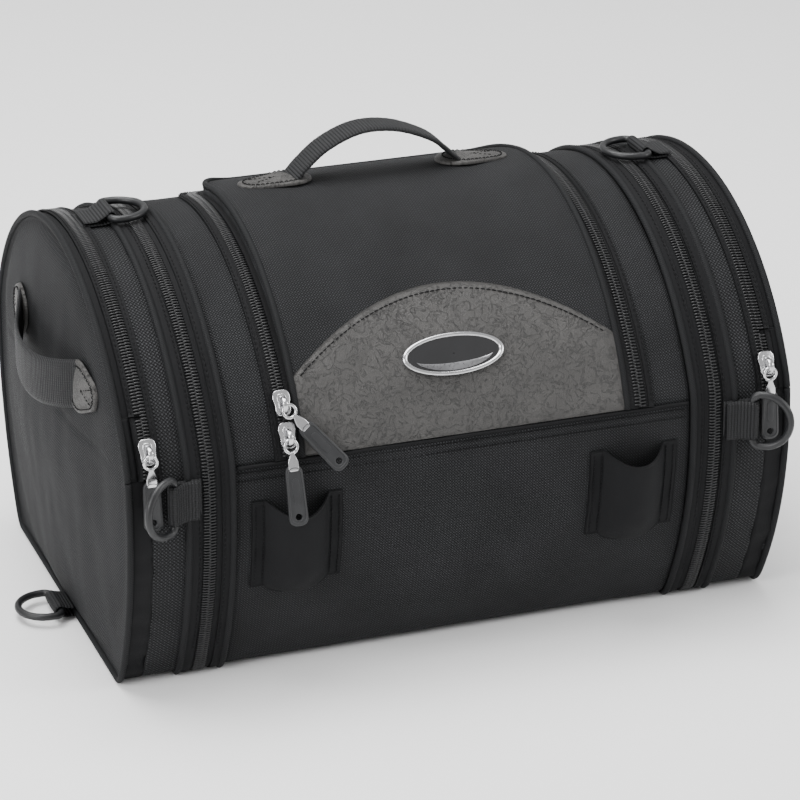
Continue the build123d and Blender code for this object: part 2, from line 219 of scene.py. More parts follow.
def tube(pile, path, radius, sides=10, closed=False):
    """A round cord along a path of points."""
    path = np.asarray(path, float)
    ahead = np.roll(path, -1, 0) - np.roll(path, 1, 0)
    if not closed:
        ahead[0], ahead[-1] = path[1] - path[0], path[-1] - path[-2]
    ahead /= np.linalg.norm(ahead, axis=1)[:, None]
    up = np.zeros_like(path)
    ref = np.array([0.0, 0, 1]) if abs(ahead[0][2]) < 0.9 else np.array([1.0, 0, 0])
    for i, t in enumerate(ahead):
        ref = ref - t * (ref @ t)
        ref = ref / np.linalg.norm(ref)
        up[i] = ref
    side = np.cross(ahead, up)
    angles = np.arange(sides) * 2 * math.pi / sides
    rings = path[:, None] + radius * (np.cos(angles)[None, :, None] * up[:, None]
                                      + np.sin(angles)[None, :, None] * side[:, None])
    faces = grid_faces(len(path), sides, closed_rows=closed, closed_cols=True)
    if not closed:
        faces += [tuple(range(sides - 1, -1, -1)), tuple((len(path) - 1) * sides + k for k in range(sides))]
    along = np.concatenate([[0], np.cumsum(np.linalg.norm(np.diff(path, axis=0), axis=1))])
    cloth = np.stack(np.broadcast_arrays(along[:, None], (angles * radius)[None, :]), -1)
    pile.add(rings, faces, cloth)


def stitches(pile, path, up, pitch=3.6, length=2.7, radius=0.38):
    """A row of thread stitches along a path; up is the cloth's outward direction at each point."""
    path, up = np.asarray(path, float), np.asarray(up, float)
    along = np.concatenate([[0], np.cumsum(np.linalg.norm(np.diff(path, axis=0), axis=1))])
    for start in np.arange(pitch / 2, along[-1] - pitch / 2, pitch):
        at = np.linspace(start - length / 2, start + length / 2, 5)
        points = np.stack([np.interp(at, along, path[:, k]) for k in range(3)], -1)
        out = np.array([np.interp(start, along, up[:, k]) for k in range(3)])
        sink = np.array([-0.45, 0.05, 0.2, 0.05, -0.45])
        tube(pile, points + out[None] * sink[:, None], radius, sides=6)


def rounded_plate(outline, thick, bevel=0.5, holes=()):
    """A flat plate with soft edges: outline and holes are lists of (x, y), thickness along z from 0."""
    bm = bmesh.new()
    loops = [outline, *holes]
    edges = []
    for loop in loops:
        vs = [bm.verts.new((x, y, 0)) for x, y in loop]
        edges += [bm.edges.new((a, b)) for a, b in zip(vs, vs[1:] + vs[:1])]
    bmesh.ops.triangle_fill(bm, use_beauty=True, edges=edges)
    out = bmesh.ops.extrude_face_region(bm, geom=list(bm.faces))
    raised = [v for v in out["geom"] if isinstance(v, bmesh.types.BMVert)]
    bmesh.ops.translate(bm, vec=(0, 0, thick), verts=raised)
    bmesh.ops.recalc_face_normals(bm, faces=bm.faces)
    rim = [e for e in bm.edges if len(e.link_faces) == 2 and e.calc_face_angle(0) > 1.0 and
           abs(e.verts[0].co.z - e.verts[1].co.z) < 1e-6]
    bmesh.ops.bevel(bm, geom=rim, offset=bevel, segments=3, profile=0.5, affect="EDGES")
    bm.verts.index_update()
    verts = [tuple(v.co) for v in bm.verts]
    faces = [tuple(v.index for v in f.verts) for f in bm.faces]
    bm.free()
    return np.array(verts), faces


def round_outline(w, h, r, steps=6):
    """A rounded rectangle round the origin."""
    points = []
    for cx, cy, a0 in ((w / 2 - r, h / 2 - r, 0), (-w / 2 + r, h / 2 - r, 90), (-w / 2 + r, -h / 2 + r, 180),
                       (w / 2 - r, -h / 2 + r, 270)):
        for k in range(steps + 1):
            a = math.radians(a0 + 90 * k / steps)
            points.append((cx + r * math.cos(a), cy + r * math.sin(a)))
    return points


def placed(verts, origin, x, y):
    """Points from a local frame: x and y directions and their cross product."""
    x, y = np.array(x, float), np.array(y, float)
    return np.array(origin, float) + np.asarray(verts, float) @ np.stack([x, y, np.cross(x, y)])


# --- materials -------------------------------------------------------------------------------------
class Shader:
    """A material's node tree with short calls."""

    def __init__(self, name, **values):
        self.material = bpy.data.materials.new(name)
        self.material.use_nodes = True
        self.tree = self.material.node_tree
        self.bsdf = self.tree.nodes["Principled BSDF"]
        for key, value in values.items():
            self.bsdf.inputs[key.replace("_", " ")].default_value = value

    def node(self, kind, **values):
        made = self.tree.nodes.new("ShaderNode" + kind)
        for key, value in values.items():
            setattr(made, key, value)
        return made

    def link(self, value, socket):
        if hasattr(value, "links"):
            self.tree.links.new(value, socket)
        else:
            socket.default_value = value

    def math(self, operation, a, b=0.0, c=0.0):
        made = self.node("Math", operation=operation)
        for socket, value in zip(made.inputs, (a, b, c)):
            self.link(value, socket)
        return made.outputs[0]

    def weave_axes(self):
        source = self.node("Attribute", attribute_name="weave")
        split = self.node("SeparateXYZ")
        self.link(source.outputs["Vector"], split.inputs[0])
        return source.outputs["Vector"], split.outputs[0], split.outputs[1]

    def place(self):
        return self.node("TexCoord").outputs["Object"]

    def noise(self, vector, scale, detail=3.0, roughness=0.55):
        made = self.node("TexNoise")
        self.link(vector, made.inputs["Vector"])
        made.inputs["Scale"].default_value = scale
        made.inputs["Detail"].default_value = detail
        made.inputs["Roughness"].default_value = roughness
        return made.outputs["Fac"]

    def cell_edges(self, vector, scale):
        made = self.node("TexVoronoi", feature="DISTANCE_TO_EDGE")
        self.link(vector, made.inputs["Vector"])
        made.inputs["Scale"].default_value = scale
        return made.outputs["Distance"]

    def spread(self, value, low, high, to_low, to_high):
        made = self.node("MapRange")
        for socket, v in zip(made.inputs, (value, low, high, to_low, to_high)):
            self.link(v, socket)
        return made.outputs[0]

    def blend(self, fac, a, b):
        made = self.node("Mix", data_type="RGBA")
        self.link(fac, made.inputs["Factor"])
        made.inputs[6].default_value = (*a, 1)
        made.inputs[7].default_value = (*b, 1)
        return made.outputs[2]

    def bump(self, height, distance, strength=1.0, under=None):
        made = self.node("Bump")
        made.inputs["Strength"].default_value = strength
        made.inputs["Distance"].default_value = distance
        self.link(height, made.inputs["Height"])
        if under is not None:
            self.link(under, made.inputs["Normal"])
        return made.outputs[0]

    def done(self, colour=None, roughness=None, bump=None):
        for value, key in ((colour, "Base Color"), (roughness, "Roughness"), (bump, "Normal")):
            if value is not None:
                self.link(value, self.bsdf.inputs[key])
        return self.material


def ballistic(name, dark, light, yarn=1.35, depth=0.0005):
    """Coarse nylon in a diagonal basket weave: yarns over and under, uneven from yarn to yarn, with painted
    sheen on the yarn crowns and painted shade where yarns dip under.
    """
    m = Shader(name, Specular_IOR_Level=0.16)
    vector, u, v = m.weave_axes()
    pi = math.pi
    wander = m.math("MULTIPLY", m.math("SUBTRACT", m.noise(vector, 0.08, 2.0), 0.5), 2.2)
    a = m.math("ADD", m.math("MULTIPLY", m.math("ADD", u, v), 0.7071), wander)
    b = m.math("MULTIPLY", m.math("SUBTRACT", u, v), 0.7071)
    across_a = m.math("POWER", m.math("ABSOLUTE", m.math("SINE", m.math("MULTIPLY", a, pi / yarn))), 0.7)
    across_b = m.math("POWER", m.math("ABSOLUTE", m.math("SINE", m.math("MULTIPLY", b, pi / yarn))), 0.7)
    row_a = m.math("FLOOR", m.math("DIVIDE", a, yarn))
    row_b = m.math("FLOOR", m.math("DIVIDE", b, yarn))
    over = m.math("PINGPONG", m.math("ADD", row_a, row_b), 1.0)
    warp = m.math("MULTIPLY", across_a, m.math("ADD", 0.35, m.math("MULTIPLY", across_b, 0.65)))
    weft = m.math("MULTIPLY", m.math("MULTIPLY", across_b, 0.55), m.math("ADD", 0.35, across_a))
    under = m.math("MULTIPLY", weft, m.math("SUBTRACT", 1.0, over))
    height = m.math("ADD", m.math("MULTIPLY", warp, over), under)
    wear = m.noise(vector, 0.02, 4.0)
    grain = m.noise(vector, 0.9, 2.0)
    # painted light: the tone follows the weave's height, so the yarn crowns carry painted sheen and the under
    # yarns and gaps between yarns carry painted shade; grain and wear add tone that varies at random
    tone = m.math("ADD", m.math("MULTIPLY", height, 0.85), m.math("MULTIPLY", grain, 0.25))
    tone = m.math("MULTIPLY", m.math("POWER", tone, 1.8), m.spread(wear, 0.3, 0.7, 0.75, 1.15))
    rough = m.spread(height, 0.0, 1.0, 0.9, 0.62)
    slow = m.bump(m.noise(vector, 0.03, 2.0), 0.0012, 0.6)
    return m.done(m.blend(tone, dark, light), rough, m.bump(height, depth, 1.0, slow))


def twill(name, dark, light, pitch=1.3, depth=0.0003, across=0.0):
    """Fine diagonal ribs, for binding, tape and piping."""
    m = Shader(name, Specular_IOR_Level=0.12)
    vector, u, v = m.weave_axes()
    slant = m.math("ADD", u, m.math("MULTIPLY", v, 1.0 - across))
    rib = m.math("ABSOLUTE", m.math("SINE", m.math("MULTIPLY", slant, math.pi / pitch)))
    fibre = m.noise(vector, 1.4, 3.0)
    # painted light: the tone follows the rib height, painted sheen on the rib crowns and painted shade in the
    # grooves; the fibre noise adds tone that varies at random
    tone = m.math("ADD", m.math("MULTIPLY", rib, 0.6), m.math("MULTIPLY", fibre, 0.5))
    return m.done(m.blend(tone, dark, light), m.spread(fibre, 0.3, 0.7, 0.6, 0.8), m.bump(rib, depth, 0.8))


def webbing_cloth(name):
    """Ribbed webbing: ribs across the strap, with chevron yarns along it."""
    m = Shader(name, Specular_IOR_Level=0.2)
    vector, u, v = m.weave_axes()
    rib = m.math("ABSOLUTE", m.math("SINE", m.math("MULTIPLY", u, math.pi / 2.1)))
    cord = m.math("ABSOLUTE", m.math("SINE", m.math("MULTIPLY", v, math.pi / 1.5)))
    height = m.math("MULTIPLY", m.math("POWER", rib, 0.5), m.math("ADD", 0.6, m.math("MULTIPLY", cord, 0.4)))
    fibre = m.noise(vector, 1.1, 3.0)
    # painted light: the tone follows the rib height, painted sheen on the rib crowns and painted shade
    # between ribs and cords; the fibre noise varies at random
    tone = m.math("MULTIPLY", height, m.spread(fibre, 0.25, 0.75, 0.5, 1.0))
    colour = m.blend(tone, (0.002, 0.002, 0.0022), (0.019, 0.0195, 0.021))
    return m.done(colour, m.spread(fibre, 0.3, 0.7, 0.5, 0.7), m.bump(height, 0.0007, 0.9))


def hide(name):
    """Grained, crumpled grey-brown leather."""
    m = Shader(name, Specular_IOR_Level=0.4)
    vector, _, _ = m.weave_axes()
    folds = m.node("TexNoise")
    m.link(vector, folds.inputs["Vector"])
    for key, value in (("Scale", 0.15), ("Detail", 7.0), ("Roughness", 0.6), ("Distortion", 0.7)):
        folds.inputs[key].default_value = value
    ridge = m.math("ABSOLUTE", m.math("SUBTRACT", folds.outputs["Fac"], 0.5))
    creases = m.spread(ridge, 0.0, 0.022, 0.0, 1.0)
    grain = m.spread(m.cell_edges(vector, 0.95), 0.0, 0.25, 0.0, 1.0)
    slow = m.noise(vector, 0.045, 4.0, 0.6)
    fine = m.noise(vector, 0.6, 5.0, 0.65)
    # painted shade: the crease lines and the grain's cell edges, which the bump sinks, are painted darker;
    # the fine and slow noise add tone that varies at random
    tone = m.math("ADD", m.math("MULTIPLY", grain, 0.22), m.math("MULTIPLY", creases, 0.38))
    tone = m.math("ADD", tone, m.math("MULTIPLY", fine, 0.3))
    tone = m.math("MULTIPLY", tone, m.spread(slow, 0.3, 0.7, 0.8, 1.15))
    colour = m.blend(tone, (0.006, 0.0059, 0.0057), (0.058, 0.0555, 0.053))
    rough = m.spread(fine, 0.3, 0.7, 0.40, 0.62)
    low = m.bump(creases, 0.0007, 0.7, m.bump(slow, 0.002, 0.5))
    return m.done(colour, rough, m.bump(m.math("ADD", grain, fine), 0.0003, 0.6, low))


def solid_look(name, colour, metallic, rough, scale, depth, dark=0.7, **values):
    """Metal, rubber and plastic: small dents, fine scratches and uneven gloss."""
    m = Shader(name, Metallic=metallic, **values)
    at = m.place()
    slow, fine = m.noise(at, scale, 3.0), m.noise(at, scale * 9, 2.0)
    tone = m.spread(slow, 0.3, 0.7, 0.0, 1.0)
    low = tuple(c * dark for c in colour)
    roughness = m.spread(fine, 0.25, 0.75, rough * 0.75, rough * 1.35)
    return m.done(m.blend(tone, low, colour), roughness, m.bump(fine, depth, 0.35))


NYLON = ballistic("ballistic_nylon", (0.0008, 0.0008, 0.0009), (0.0330, 0.0340, 0.0365))
GUSSET = ballistic("ribbed_nylon", (0.0008, 0.0008, 0.0009), (0.0360, 0.0370, 0.0395), yarn=1.7, depth=0.0006)
SMOOTH = twill("smooth_binding", (0.0022, 0.0022, 0.0025), (0.0085, 0.0087, 0.0095), pitch=0.8, depth=0.00012)
TWILL = twill("piping_twill", (0.0015, 0.0015, 0.0017), (0.0150, 0.0155, 0.0165), pitch=1.7)
TAPE_CLOTH = twill("zipper_tape", (0.0016, 0.0016, 0.0018), (0.0085, 0.0085, 0.0092), pitch=0.9, across=1.0)
WEBBING = webbing_cloth("webbing")
LINING = twill("lining", (0.03, 0.03, 0.033), (0.075, 0.075, 0.08), pitch=0.7, depth=0.0001)
THREAD = twill("thread", (0.0012, 0.0012, 0.0013), (0.012, 0.012, 0.013), pitch=0.5)
LEATHER = hide("leather")
TEETH = solid_look("zipper_teeth", (0.0065, 0.0066, 0.0074), 0.0, 0.34, 300, 0.00003, Specular_IOR_Level=0.4)
CHROME = solid_look("polished_nickel", (0.58, 0.58, 0.59), 1.0, 0.2, 90, 0.000008, dark=0.85)
BLACK_GLOSS = solid_look("badge_black", (0.006, 0.006, 0.007), 0.0, 0.08, 60, 0.00001, Coat_Weight=0.8)
RUBBER = solid_look("moulded_rubber", (0.016, 0.0165, 0.018), 0.0, 0.45, 200, 0.00008,
                    Specular_IOR_Level=0.45)
COATED = solid_look("coated_wire", (0.010, 0.0104, 0.0115), 0.0, 0.42, 120, 0.00005, Specular_IOR_Level=0.4)
PALE = solid_look("badge_grey", (0.30, 0.30, 0.31), 1.0, 0.3, 60, 0.00002)


def line_inside(obj, first):
    """Lining on the faces whose points all come after the first ones, which are the outer layer."""
    obj.data.materials.append(LINING)
    for polygon in obj.data.polygons:
        if all(v >= first for v in polygon.vertices):
            polygon.material_index = 1


def keep(obj, body, slot, *replaced):
    """A finished piece: its body and the CAD nodes that it stands for. The material slot argument is not
    used.
    """
    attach(obj, body)
    if replaced:
        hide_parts(*replaced)
    return obj


def side_name(side):
    return "left" if side < 0 else "right"


def span(a, b, step):
    return np.linspace(a, b, max(2, int(round(abs(b - a) / step)) + 1))


# --- the middle section ----------------------------------------------------------------------------
def pucker(X, S):
    """Slack in the cloth: long soft folds, and smaller ones drawn out along the section."""
    points = np.stack([X.ravel(), S.ravel(), np.zeros(X.size)], -1)
    soft = wobble(points, 70.0, 0.9, 3.1) + wobble(points * (1.0, 0.35, 1.0), 16.0, 0.25, 8.4)
    return soft.reshape(X.shape)


def edge_dip(X, S):
    """The cloth draws in towards the pipings and towards the seam above the pockets."""
    side = np.clip((MAIN_X - np.abs(X)) / 7.0, 0, 1)
    seam = np.clip(np.abs(S - S_SEAM) / 5.0, 0, 1)
    return -0.9 * (1 - side) ** 2 - 0.7 * (1 - seam) ** 2


def lid_hole(x, s):
    """True inside the lid's opening."""
    y, z, _, _ = prof(s)
    half, back, r = LID_ZIP_X + 0.5, LID_BACK_Y + LID_ZIP_X - LID_X + 0.5, LID_CORNER + LID_ZIP_X - LID_X
    if z < SEAM_Z or abs(x) > half or y > back:
        return False
    cx, cy = half - r, back - r
    return not (abs(x) > cx and y > cy and math.hypot(abs(x) - cx, y - cy) > r)


def shell(name, xs, ss, material, body, slot, replaced, hole=None, thick=2.6, lift=None):
    """A cloth wall with thickness. Cells inside the hole are left out and the rim is closed."""
    X, S = np.meshgrid(xs, ss, indexing="ij")
    n, m = X.shape
    rise = np.zeros(X.shape) if lift is None else lift(X, S)
    upper, lower = surf(X, S, rise), surf(X, S, rise - thick)
    open_cell = np.zeros((n - 1, m - 1), bool)
    if hole is not None:
        for i in range(n - 1):
            for j in range(m - 1):
                open_cell[i, j] = hole((xs[i] + xs[i + 1]) / 2, (ss[j] + ss[j + 1]) / 2)
    faces, sides = [], {}
    for i in range(n - 1):
        for j in range(m - 1):
            if open_cell[i, j]:
                continue
            a, b, c, d = i * m + j, i * m + j + 1, (i + 1) * m + j + 1, (i + 1) * m + j
            faces += [(a, b, c, d), tuple(k + n * m for k in (d, c, b, a))]
            for e in ((a, b), (b, c), (c, d), (d, a)):
                sides[e] = True
    for a, b in sides:
        if (b, a) not in sides:
            faces.append((b, a, a + n * m, b + n * m))
    cloth = np.stack([X, S], -1).reshape(-1, 2)
    verts = np.concatenate([upper.reshape(-1, 3), lower.reshape(-1, 3)])
    obj = mesh(name, verts, faces, material, np.concatenate([cloth, cloth]))
    line_inside(obj, n * m)
    bm = bmesh.new()
    bm.from_mesh(obj.data)
    loose = [v for v in bm.verts if not v.link_faces]
    bmesh.ops.delete(bm, geom=loose, context="VERTS")
    bm.to_mesh(obj.data)
    bm.free()
    return keep(obj, body, slot, *replaced)


def middle_section():
    xs = np.unique(np.concatenate([span(-MAIN_X, MAIN_X, 3.0), [-LID_ZIP_X, LID_ZIP_X]]))
    ss = np.unique(np.concatenate([span(-S_MAX, S_MAX, 3.2), span(S_SEAM - 6, S_SEAM + 6, 1.0)]))
    low = ss[ss < S_SEAM + 0.2]
    high = ss[ss >= S_SEAM - 0.6]
    lift = lambda X, S: pucker(X, S) + edge_dip(X, S)
    names = ["base_panel", "front_panel"]
    shell("front_cloth", xs, low, NYLON, "body", "ballistic_nylon", names, lift=lift)
    names = ["back_panel", "left_shoulder", "right_shoulder"]
    shell("top_and_back_cloth", xs, high, NYLON, "body", "ballistic_nylon", names, hole=lid_hole, lift=lift)


def divider_walls():
    """Lining walls between the middle compartment and the end pockets, and the covered base board."""
    pile = Pile()
    ring = np.linspace(-S_MAX, S_MAX, 120, endpoint=False)
    for side in (-1, 1):
        for x in (side * 146.0, side * 147.6):
            rows = []
            for shrink in (1.0, 0.75, 0.5, 0.25, 0.02):
                p = surf(x, ring, -3.2)
                p[:, 1:] = (p[:, 1:] - (0, 120)) * shrink + (0, 120)
                p[:, 0] += wobble(p, 40.0, 1.2, side) * (1 - shrink)
                rows.append(p)
            pile.add(np.concatenate(rows), grid_faces(5, 120, closed_cols=True),
                     np.concatenate([r[:, 1:] for r in rows]))
    keep(pile.make("divider_walls", LINING), "body", "binding_fabric", "dividers")
    verts, faces = rounded_plate(round_outline(280, 200, 8), 3.0, 1.0)
    board = mesh("covered_base_board", verts + (0, 0, 3.1), faces, LINING, verts[:, :2])
    keep(board, "body", "base_board", "base_board")


# --- hoops round the bag: piping, binding and zippers ----------------------------------------------
def piping_cord(pile, x, s0=None, s1=None, off=0.9, radius=2.1):
    """A cloth-covered cord round the bag."""
    whole = s0 is None
    ends = (-S_MAX, S_MAX) if whole else (s0, s1)
    path = surf(x, span(*ends, 3.0), off)
    path[:, 2] = np.maximum(path[:, 2], radius)
    path = path[:-1] if whole else path
    tube(pile, path, radius, sides=12, closed=whole)


# a tooth's cross-section as (along, up), and its faces: four sections in a row
TOOTH_SECTION = [(-0.7, 0.0), (-0.35, 0.75), (0.35, 0.75), (0.7, 0.0)]
TOOTH_FACES = grid_faces(4, 4) + [(3, 2, 1, 0), (12, 13, 14, 15)]
TOOTH_FACES += [(4 * i, 4 * i + 4, 4 * i + 7, 4 * i + 3) for i in range(3)]


def chain_teeth(pile, x, side, s0, s1, off, pitch=2.0):
    """One half of a coil zipper: a row of rounded teeth that reach over the centre line."""
    count = int((s1 - s0) / pitch)
    reach = [(-0.75, 0.62), (0.4, 1.0), (2.6, 1.0), (4.1, 0.55)]
    for k in range(count):
        s = s0 + (k + (0.25 if side > 0 else 0.75)) * pitch
        verts = []
        for across, scale in reach:
            for along, up in TOOTH_SECTION:
                at = s + along * (0.75 + 0.25 * scale)
                verts.append(surf(x + side * across, at, off + up * scale * 1.5)[None])
        pile.add(np.concatenate(verts), TOOTH_FACES)


def cloth_strip(pile, x0, x1, off, thick, s0=-S_MAX, s1=S_MAX, crown=0.35):
    """A band of tape or binding round the bag, gently rounded across and slightly uneven."""
    xs = span(x0, x1, max(1.2, abs(x1 - x0) / 6))
    middle, half = (x0 + x1) / 2, abs(x1 - x0) / 2
    lift = lambda X, S: crown * (1 - ((X - middle) / half) ** 2) + wobble(
        np.stack([X.ravel() * 0, S.ravel(), X.ravel() * 0], -1), 14.0, 0.22, x0).reshape(X.shape)
    slab_sheet(pile, xs, span(s0, s1, 3.0), off, thick, lift)


def seam_stitches(pile, x, off, s0=-S_MAX, s1=S_MAX):
    s = span(s0, s1, 2.0)
    stitches(pile, surf(x, s, off), normal(s))


def middle_trim():
    tapes, teeth, threads, cords = Pile(), Pile(), Pile(), Pile()
    for side in (-1, 1):
        cloth_strip(tapes, side * 151.5, side * 157.5, 1.4, 2.4)
        cloth_strip(tapes, side * 157.0, side * 164.7, 0.6, 1.4, crown=0.1)
        chain_teeth(teeth, side * EXPANSION_X, -side, -360, 360, 0.7)
        seam_stitches(threads, side * 155.8, 1.75, -330, 330)
        piping_cord(cords, side * 150.3)
    keep(tapes.make("expansion_tape_inner", SMOOTH), "body", "zipper_tape", "expansion_zip_inner")
    keep(teeth.make("expansion_teeth_inner", TEETH), "body", "zipper_tape")
    keep(threads.make("expansion_stitches_inner", THREAD), "body", "zipper_tape")
    keep(cords.make("inner_piping_cords", TWILL), "body", "piping", "inner_piping")


def lid_plan(grow):
    """Points (x, s) along the lid's outline: up the left side, round the back and down the right side."""
    half, back, r = LID_X + grow, LID_BACK_Y + grow, LID_CORNER + grow
    points, step = [], 3.0
    s_corner = s_top(back - r)
    for s in span(S_SEAM + 1.0, s_corner, step):
        points.append((-half, s))
    count = max(6, int(r * 1.57 / step))
    for k in range(1, count):
        a = math.pi / 2 * k / count
        points.append((-half + r - r * math.cos(a), s_top(back - r + r * math.sin(a))))
    for x in span(-half + r, half - r, step):
        points.append((x, s_top(back)))
    for k in range(count - 1, 0, -1):
        a = math.pi / 2 * k / count
        points.append((half - r + r * math.cos(a), s_top(back - r + r * math.sin(a))))
    for s in span(s_corner, S_SEAM + 1.0, step):
        points.append((half, s))
    return np.array(points)


def resample(points, step):
    gaps = np.linalg.norm(np.diff(points, axis=0), axis=1)
    along = np.concatenate([[0], np.cumsum(gaps)])
    at = span(0, along[-1], step)
    return np.stack([np.interp(at, along, points[:, k]) for k in range(points.shape[1])], -1), at


def outline_band(pile, grow_in, grow_out, off, thick):
    """A strip that follows the lid's outline between two margins."""
    count = 7
    rows = []
    for t in np.linspace(0, 1, count):
        plan, _ = resample(lid_plan(grow_in + (grow_out - grow_in) * t), 3.0)
        u = np.linspace(0, 1, 260)
        at = np.linspace(0, 1, len(plan))
        rows.append(np.stack([np.interp(u, at, plan[:, k]) for k in (0, 1)], -1))
    rows = np.array(rows)
    X, S = rows[..., 0], rows[..., 1]
    across = np.linspace(-1, 1, count)[:, None]
    top = off + 0.3 * (1 - across ** 2) + np.zeros_like(X)
    along = np.linspace(0, 700, 260)[None] + 0 * X
    cloth = np.stack([along, across * 3.5 + 0 * X], -1).reshape(-1, 2)
    n, m = X.shape
    verts = np.concatenate([surf(X, S, top).reshape(-1, 3), surf(X, S, top - thick).reshape(-1, 3)])
    faces = [f[::-1] for f in sheet_faces(n, m)]
    pile.add(verts, faces, np.concatenate([cloth, cloth]))


def lid_teeth(pile, side, off):
    """Teeth along the lid's zipper: side -1 on the lid, +1 on the body."""
    plan, _ = resample(lid_plan(LID_ZIP_X - LID_X), 2.0)
    ahead = np.gradient(plan, axis=0)
    ahead /= np.linalg.norm(ahead, axis=1)[:, None]
    out = np.stack([-ahead[:, 1], ahead[:, 0]], -1)
    reach = [(-0.75, 0.62), (0.4, 1.0), (2.4, 1.0), (3.8, 0.55)]
    shift = 0.5 if side > 0 else -0.5
    for k in range(1, len(plan) - 1):
        verts = []
        for across, scale in reach:
            for along, up in TOOTH_SECTION:
                p = plan[k] + ahead[k] * (shift + along) + out[k] * across * side
                verts.append(surf(p[0], p[1], off + up * scale * 1.5)[None])
        pile.add(np.concatenate(verts), TOOTH_FACES)


def lid_zipper():
    chain = LID_ZIP_X - LID_X
    for side, body, names in ((1, "body", "lid_zip_body"), (-1, "lid", "lid_zip_lid")):
        tape, teeth = Pile(), Pile()
        if side > 0:
            outline_band(tape, chain + 0.15, chain + 7.2, 0.7, 1.0)
        else:
            outline_band(tape, -0.6, chain - 0.15, 0.7, 1.0)
        lid_teeth(teeth, side, 0.75)
        part = "body" if side > 0 else "lid"
        keep(tape.make(f"lid_zip_tape_{part}", TAPE_CLOTH), body, "zipper_tape", names)
        keep(teeth.make(f"lid_zip_teeth_{part}", TEETH), body, "zipper_tape")
    edge, thread = Pile(), Pile()
    outline_band(edge, chain + 5.2, chain + 8.8, 1.3, 1.2)
    keep(edge.make("lid_zip_edge_cloth", SMOOTH), "body", "zipper_tape")
    plan, _ = resample(lid_plan(chain + 7.6), 2.0)
    stitches(thread, surf(plan[:, 0], plan[:, 1], 1.6), normal(plan[:, 1]))
    keep(thread.make("lid_zip_stitches", THREAD), "body", "zipper_tape")


# --- the lid ---------------------------------------------------------------------------------------
def lid_top(x, s):
    """Height of the padded lid above the barrel, crowned between its edges."""
    inner = np.minimum(LID_X - np.abs(x), (S_BACK - s))
    drop = np.clip(1 - inner / 9.0, 0, 1) ** 2
    return lid_rise(s) * (1 - 0.22 * drop) - 0.3 * drop


def lid_pad():
    """The padded panel as a closed form: the outline shrinks towards its middle in rows."""
    plan = resample(lid_plan(0.0), 3.0)[0]
    closing = span(LID_X, -LID_X, 3.0)[1:-1]
    front = np.stack([closing, np.full(len(closing), S_SEAM + 1.0)], -1)
    loop = np.concatenate([plan, front])
    middle = np.array([0.0, (S_SEAM + S_BACK) / 2])
    rows, heights = [], []
    for shrink in np.concatenate([[1.0, 0.995, 0.985, 0.965, 0.94, 0.91], np.linspace(0.87, 0.01, 20)]):
        p = (loop - middle) * shrink + middle
        rows.append(p)
        extra = wobble(np.stack([p[:, 0], p[:, 1], 0 * p[:, 0]], -1), 45.0, 0.8, 5.0)
        drape = np.where(shrink > 0.99, -1.2, 0.0)
        heights.append(lid_top(p[:, 0], p[:, 1]) + extra * (1 - shrink) * 2 + drape)
    upper = [surf(p[:, 0], p[:, 1], h) for p, h in zip(rows, heights)]
    lower = [surf(p[:, 0], p[:, 1], -2.6) for p in rows]
    n, m = len(rows), len(loop)
    verts = np.concatenate(upper + lower)
    faces = [f[::-1] for f in grid_faces(n, m, closed_cols=True)]
    faces += [tuple(i + n * m for i in f[::-1]) for f in faces]
    for j in range(m):
        k = (j + 1) % m
        faces.append((j, k, k + n * m, j + n * m))
    last = [(n - 1) * m + j for j in range(m)]
    faces += [tuple(last[::-1]), tuple(k + n * m for k in last)]
    cloth = np.concatenate(rows)
    pad = mesh("lid_padded_panel", verts, faces, NYLON, np.concatenate([cloth, cloth]))
    line_inside(pad, n * m)
    return pad


def leather_arch(t):
    """Upper edge of the leather half-oval, as (x, z), from left to right."""
    side, top, half = 193.0, 225.0, LID_X - 3.0
    rise = top - side
    radius = (half * half + rise * rise) / (2 * rise)
    x = -half + 2 * half * t
    return x, top - radius + math.sqrt(radius ** 2 - x ** 2)


def leather_patch():
    pile, thread = Pile(), Pile()
    cols, rows = 120, 34
    X, S = np.zeros((cols, rows)), np.zeros((cols, rows))
    for i, t in enumerate(np.linspace(0, 1, cols)):
        x, z = leather_arch(t)
        X[i] = x
        S[i] = np.linspace(S_SEAM + 1.2, s_at(z), rows)
    points = np.stack([X.ravel(), S.ravel(), 0 * X.ravel()], -1)
    crumple = (wobble(points, 26.0, 0.5, 1.3) + wobble(points, 9.0, 0.22, 7.7)).reshape(X.shape)
    edge = np.minimum(np.minimum(np.arange(cols), np.arange(cols)[::-1])[:, None],
                      np.minimum(np.arange(rows), np.arange(rows)[::-1])[None]) / 2.0
    soft = np.clip(edge, 0, 1)
    top = lid_top(X, S) + 0.25 + 1.0 * np.sqrt(soft) + crumple * soft
    n, m = X.shape
    verts = np.concatenate([surf(X, S, top).reshape(-1, 3), surf(X, S, lid_top(X, S) - 0.6).reshape(-1, 3)])
    faces = sheet_faces(n, m)
    cloth = np.stack([X, S], -1).reshape(-1, 2)
    keep(mesh("leather_half_oval", verts, faces, LEATHER, np.concatenate([cloth, cloth])),
         "lid", "leather", "leather_patch")
    arch = []
    for t in np.linspace(0.02, 0.98, 160):
        x, z = leather_arch(t)
        arch.append((x, s_at(z - 3.2)))
    arch = np.array(arch)
    stitches(thread, surf(arch[:, 0], arch[:, 1], lid_top(arch[:, 0], arch[:, 1]) + 1.35), normal(arch[:, 1]))
    keep(thread.make("leather_stitches", THREAD), "lid", "leather")


BADGE_X, BADGE_Z, RIM_POINTS = -2.0, 193.0, 96


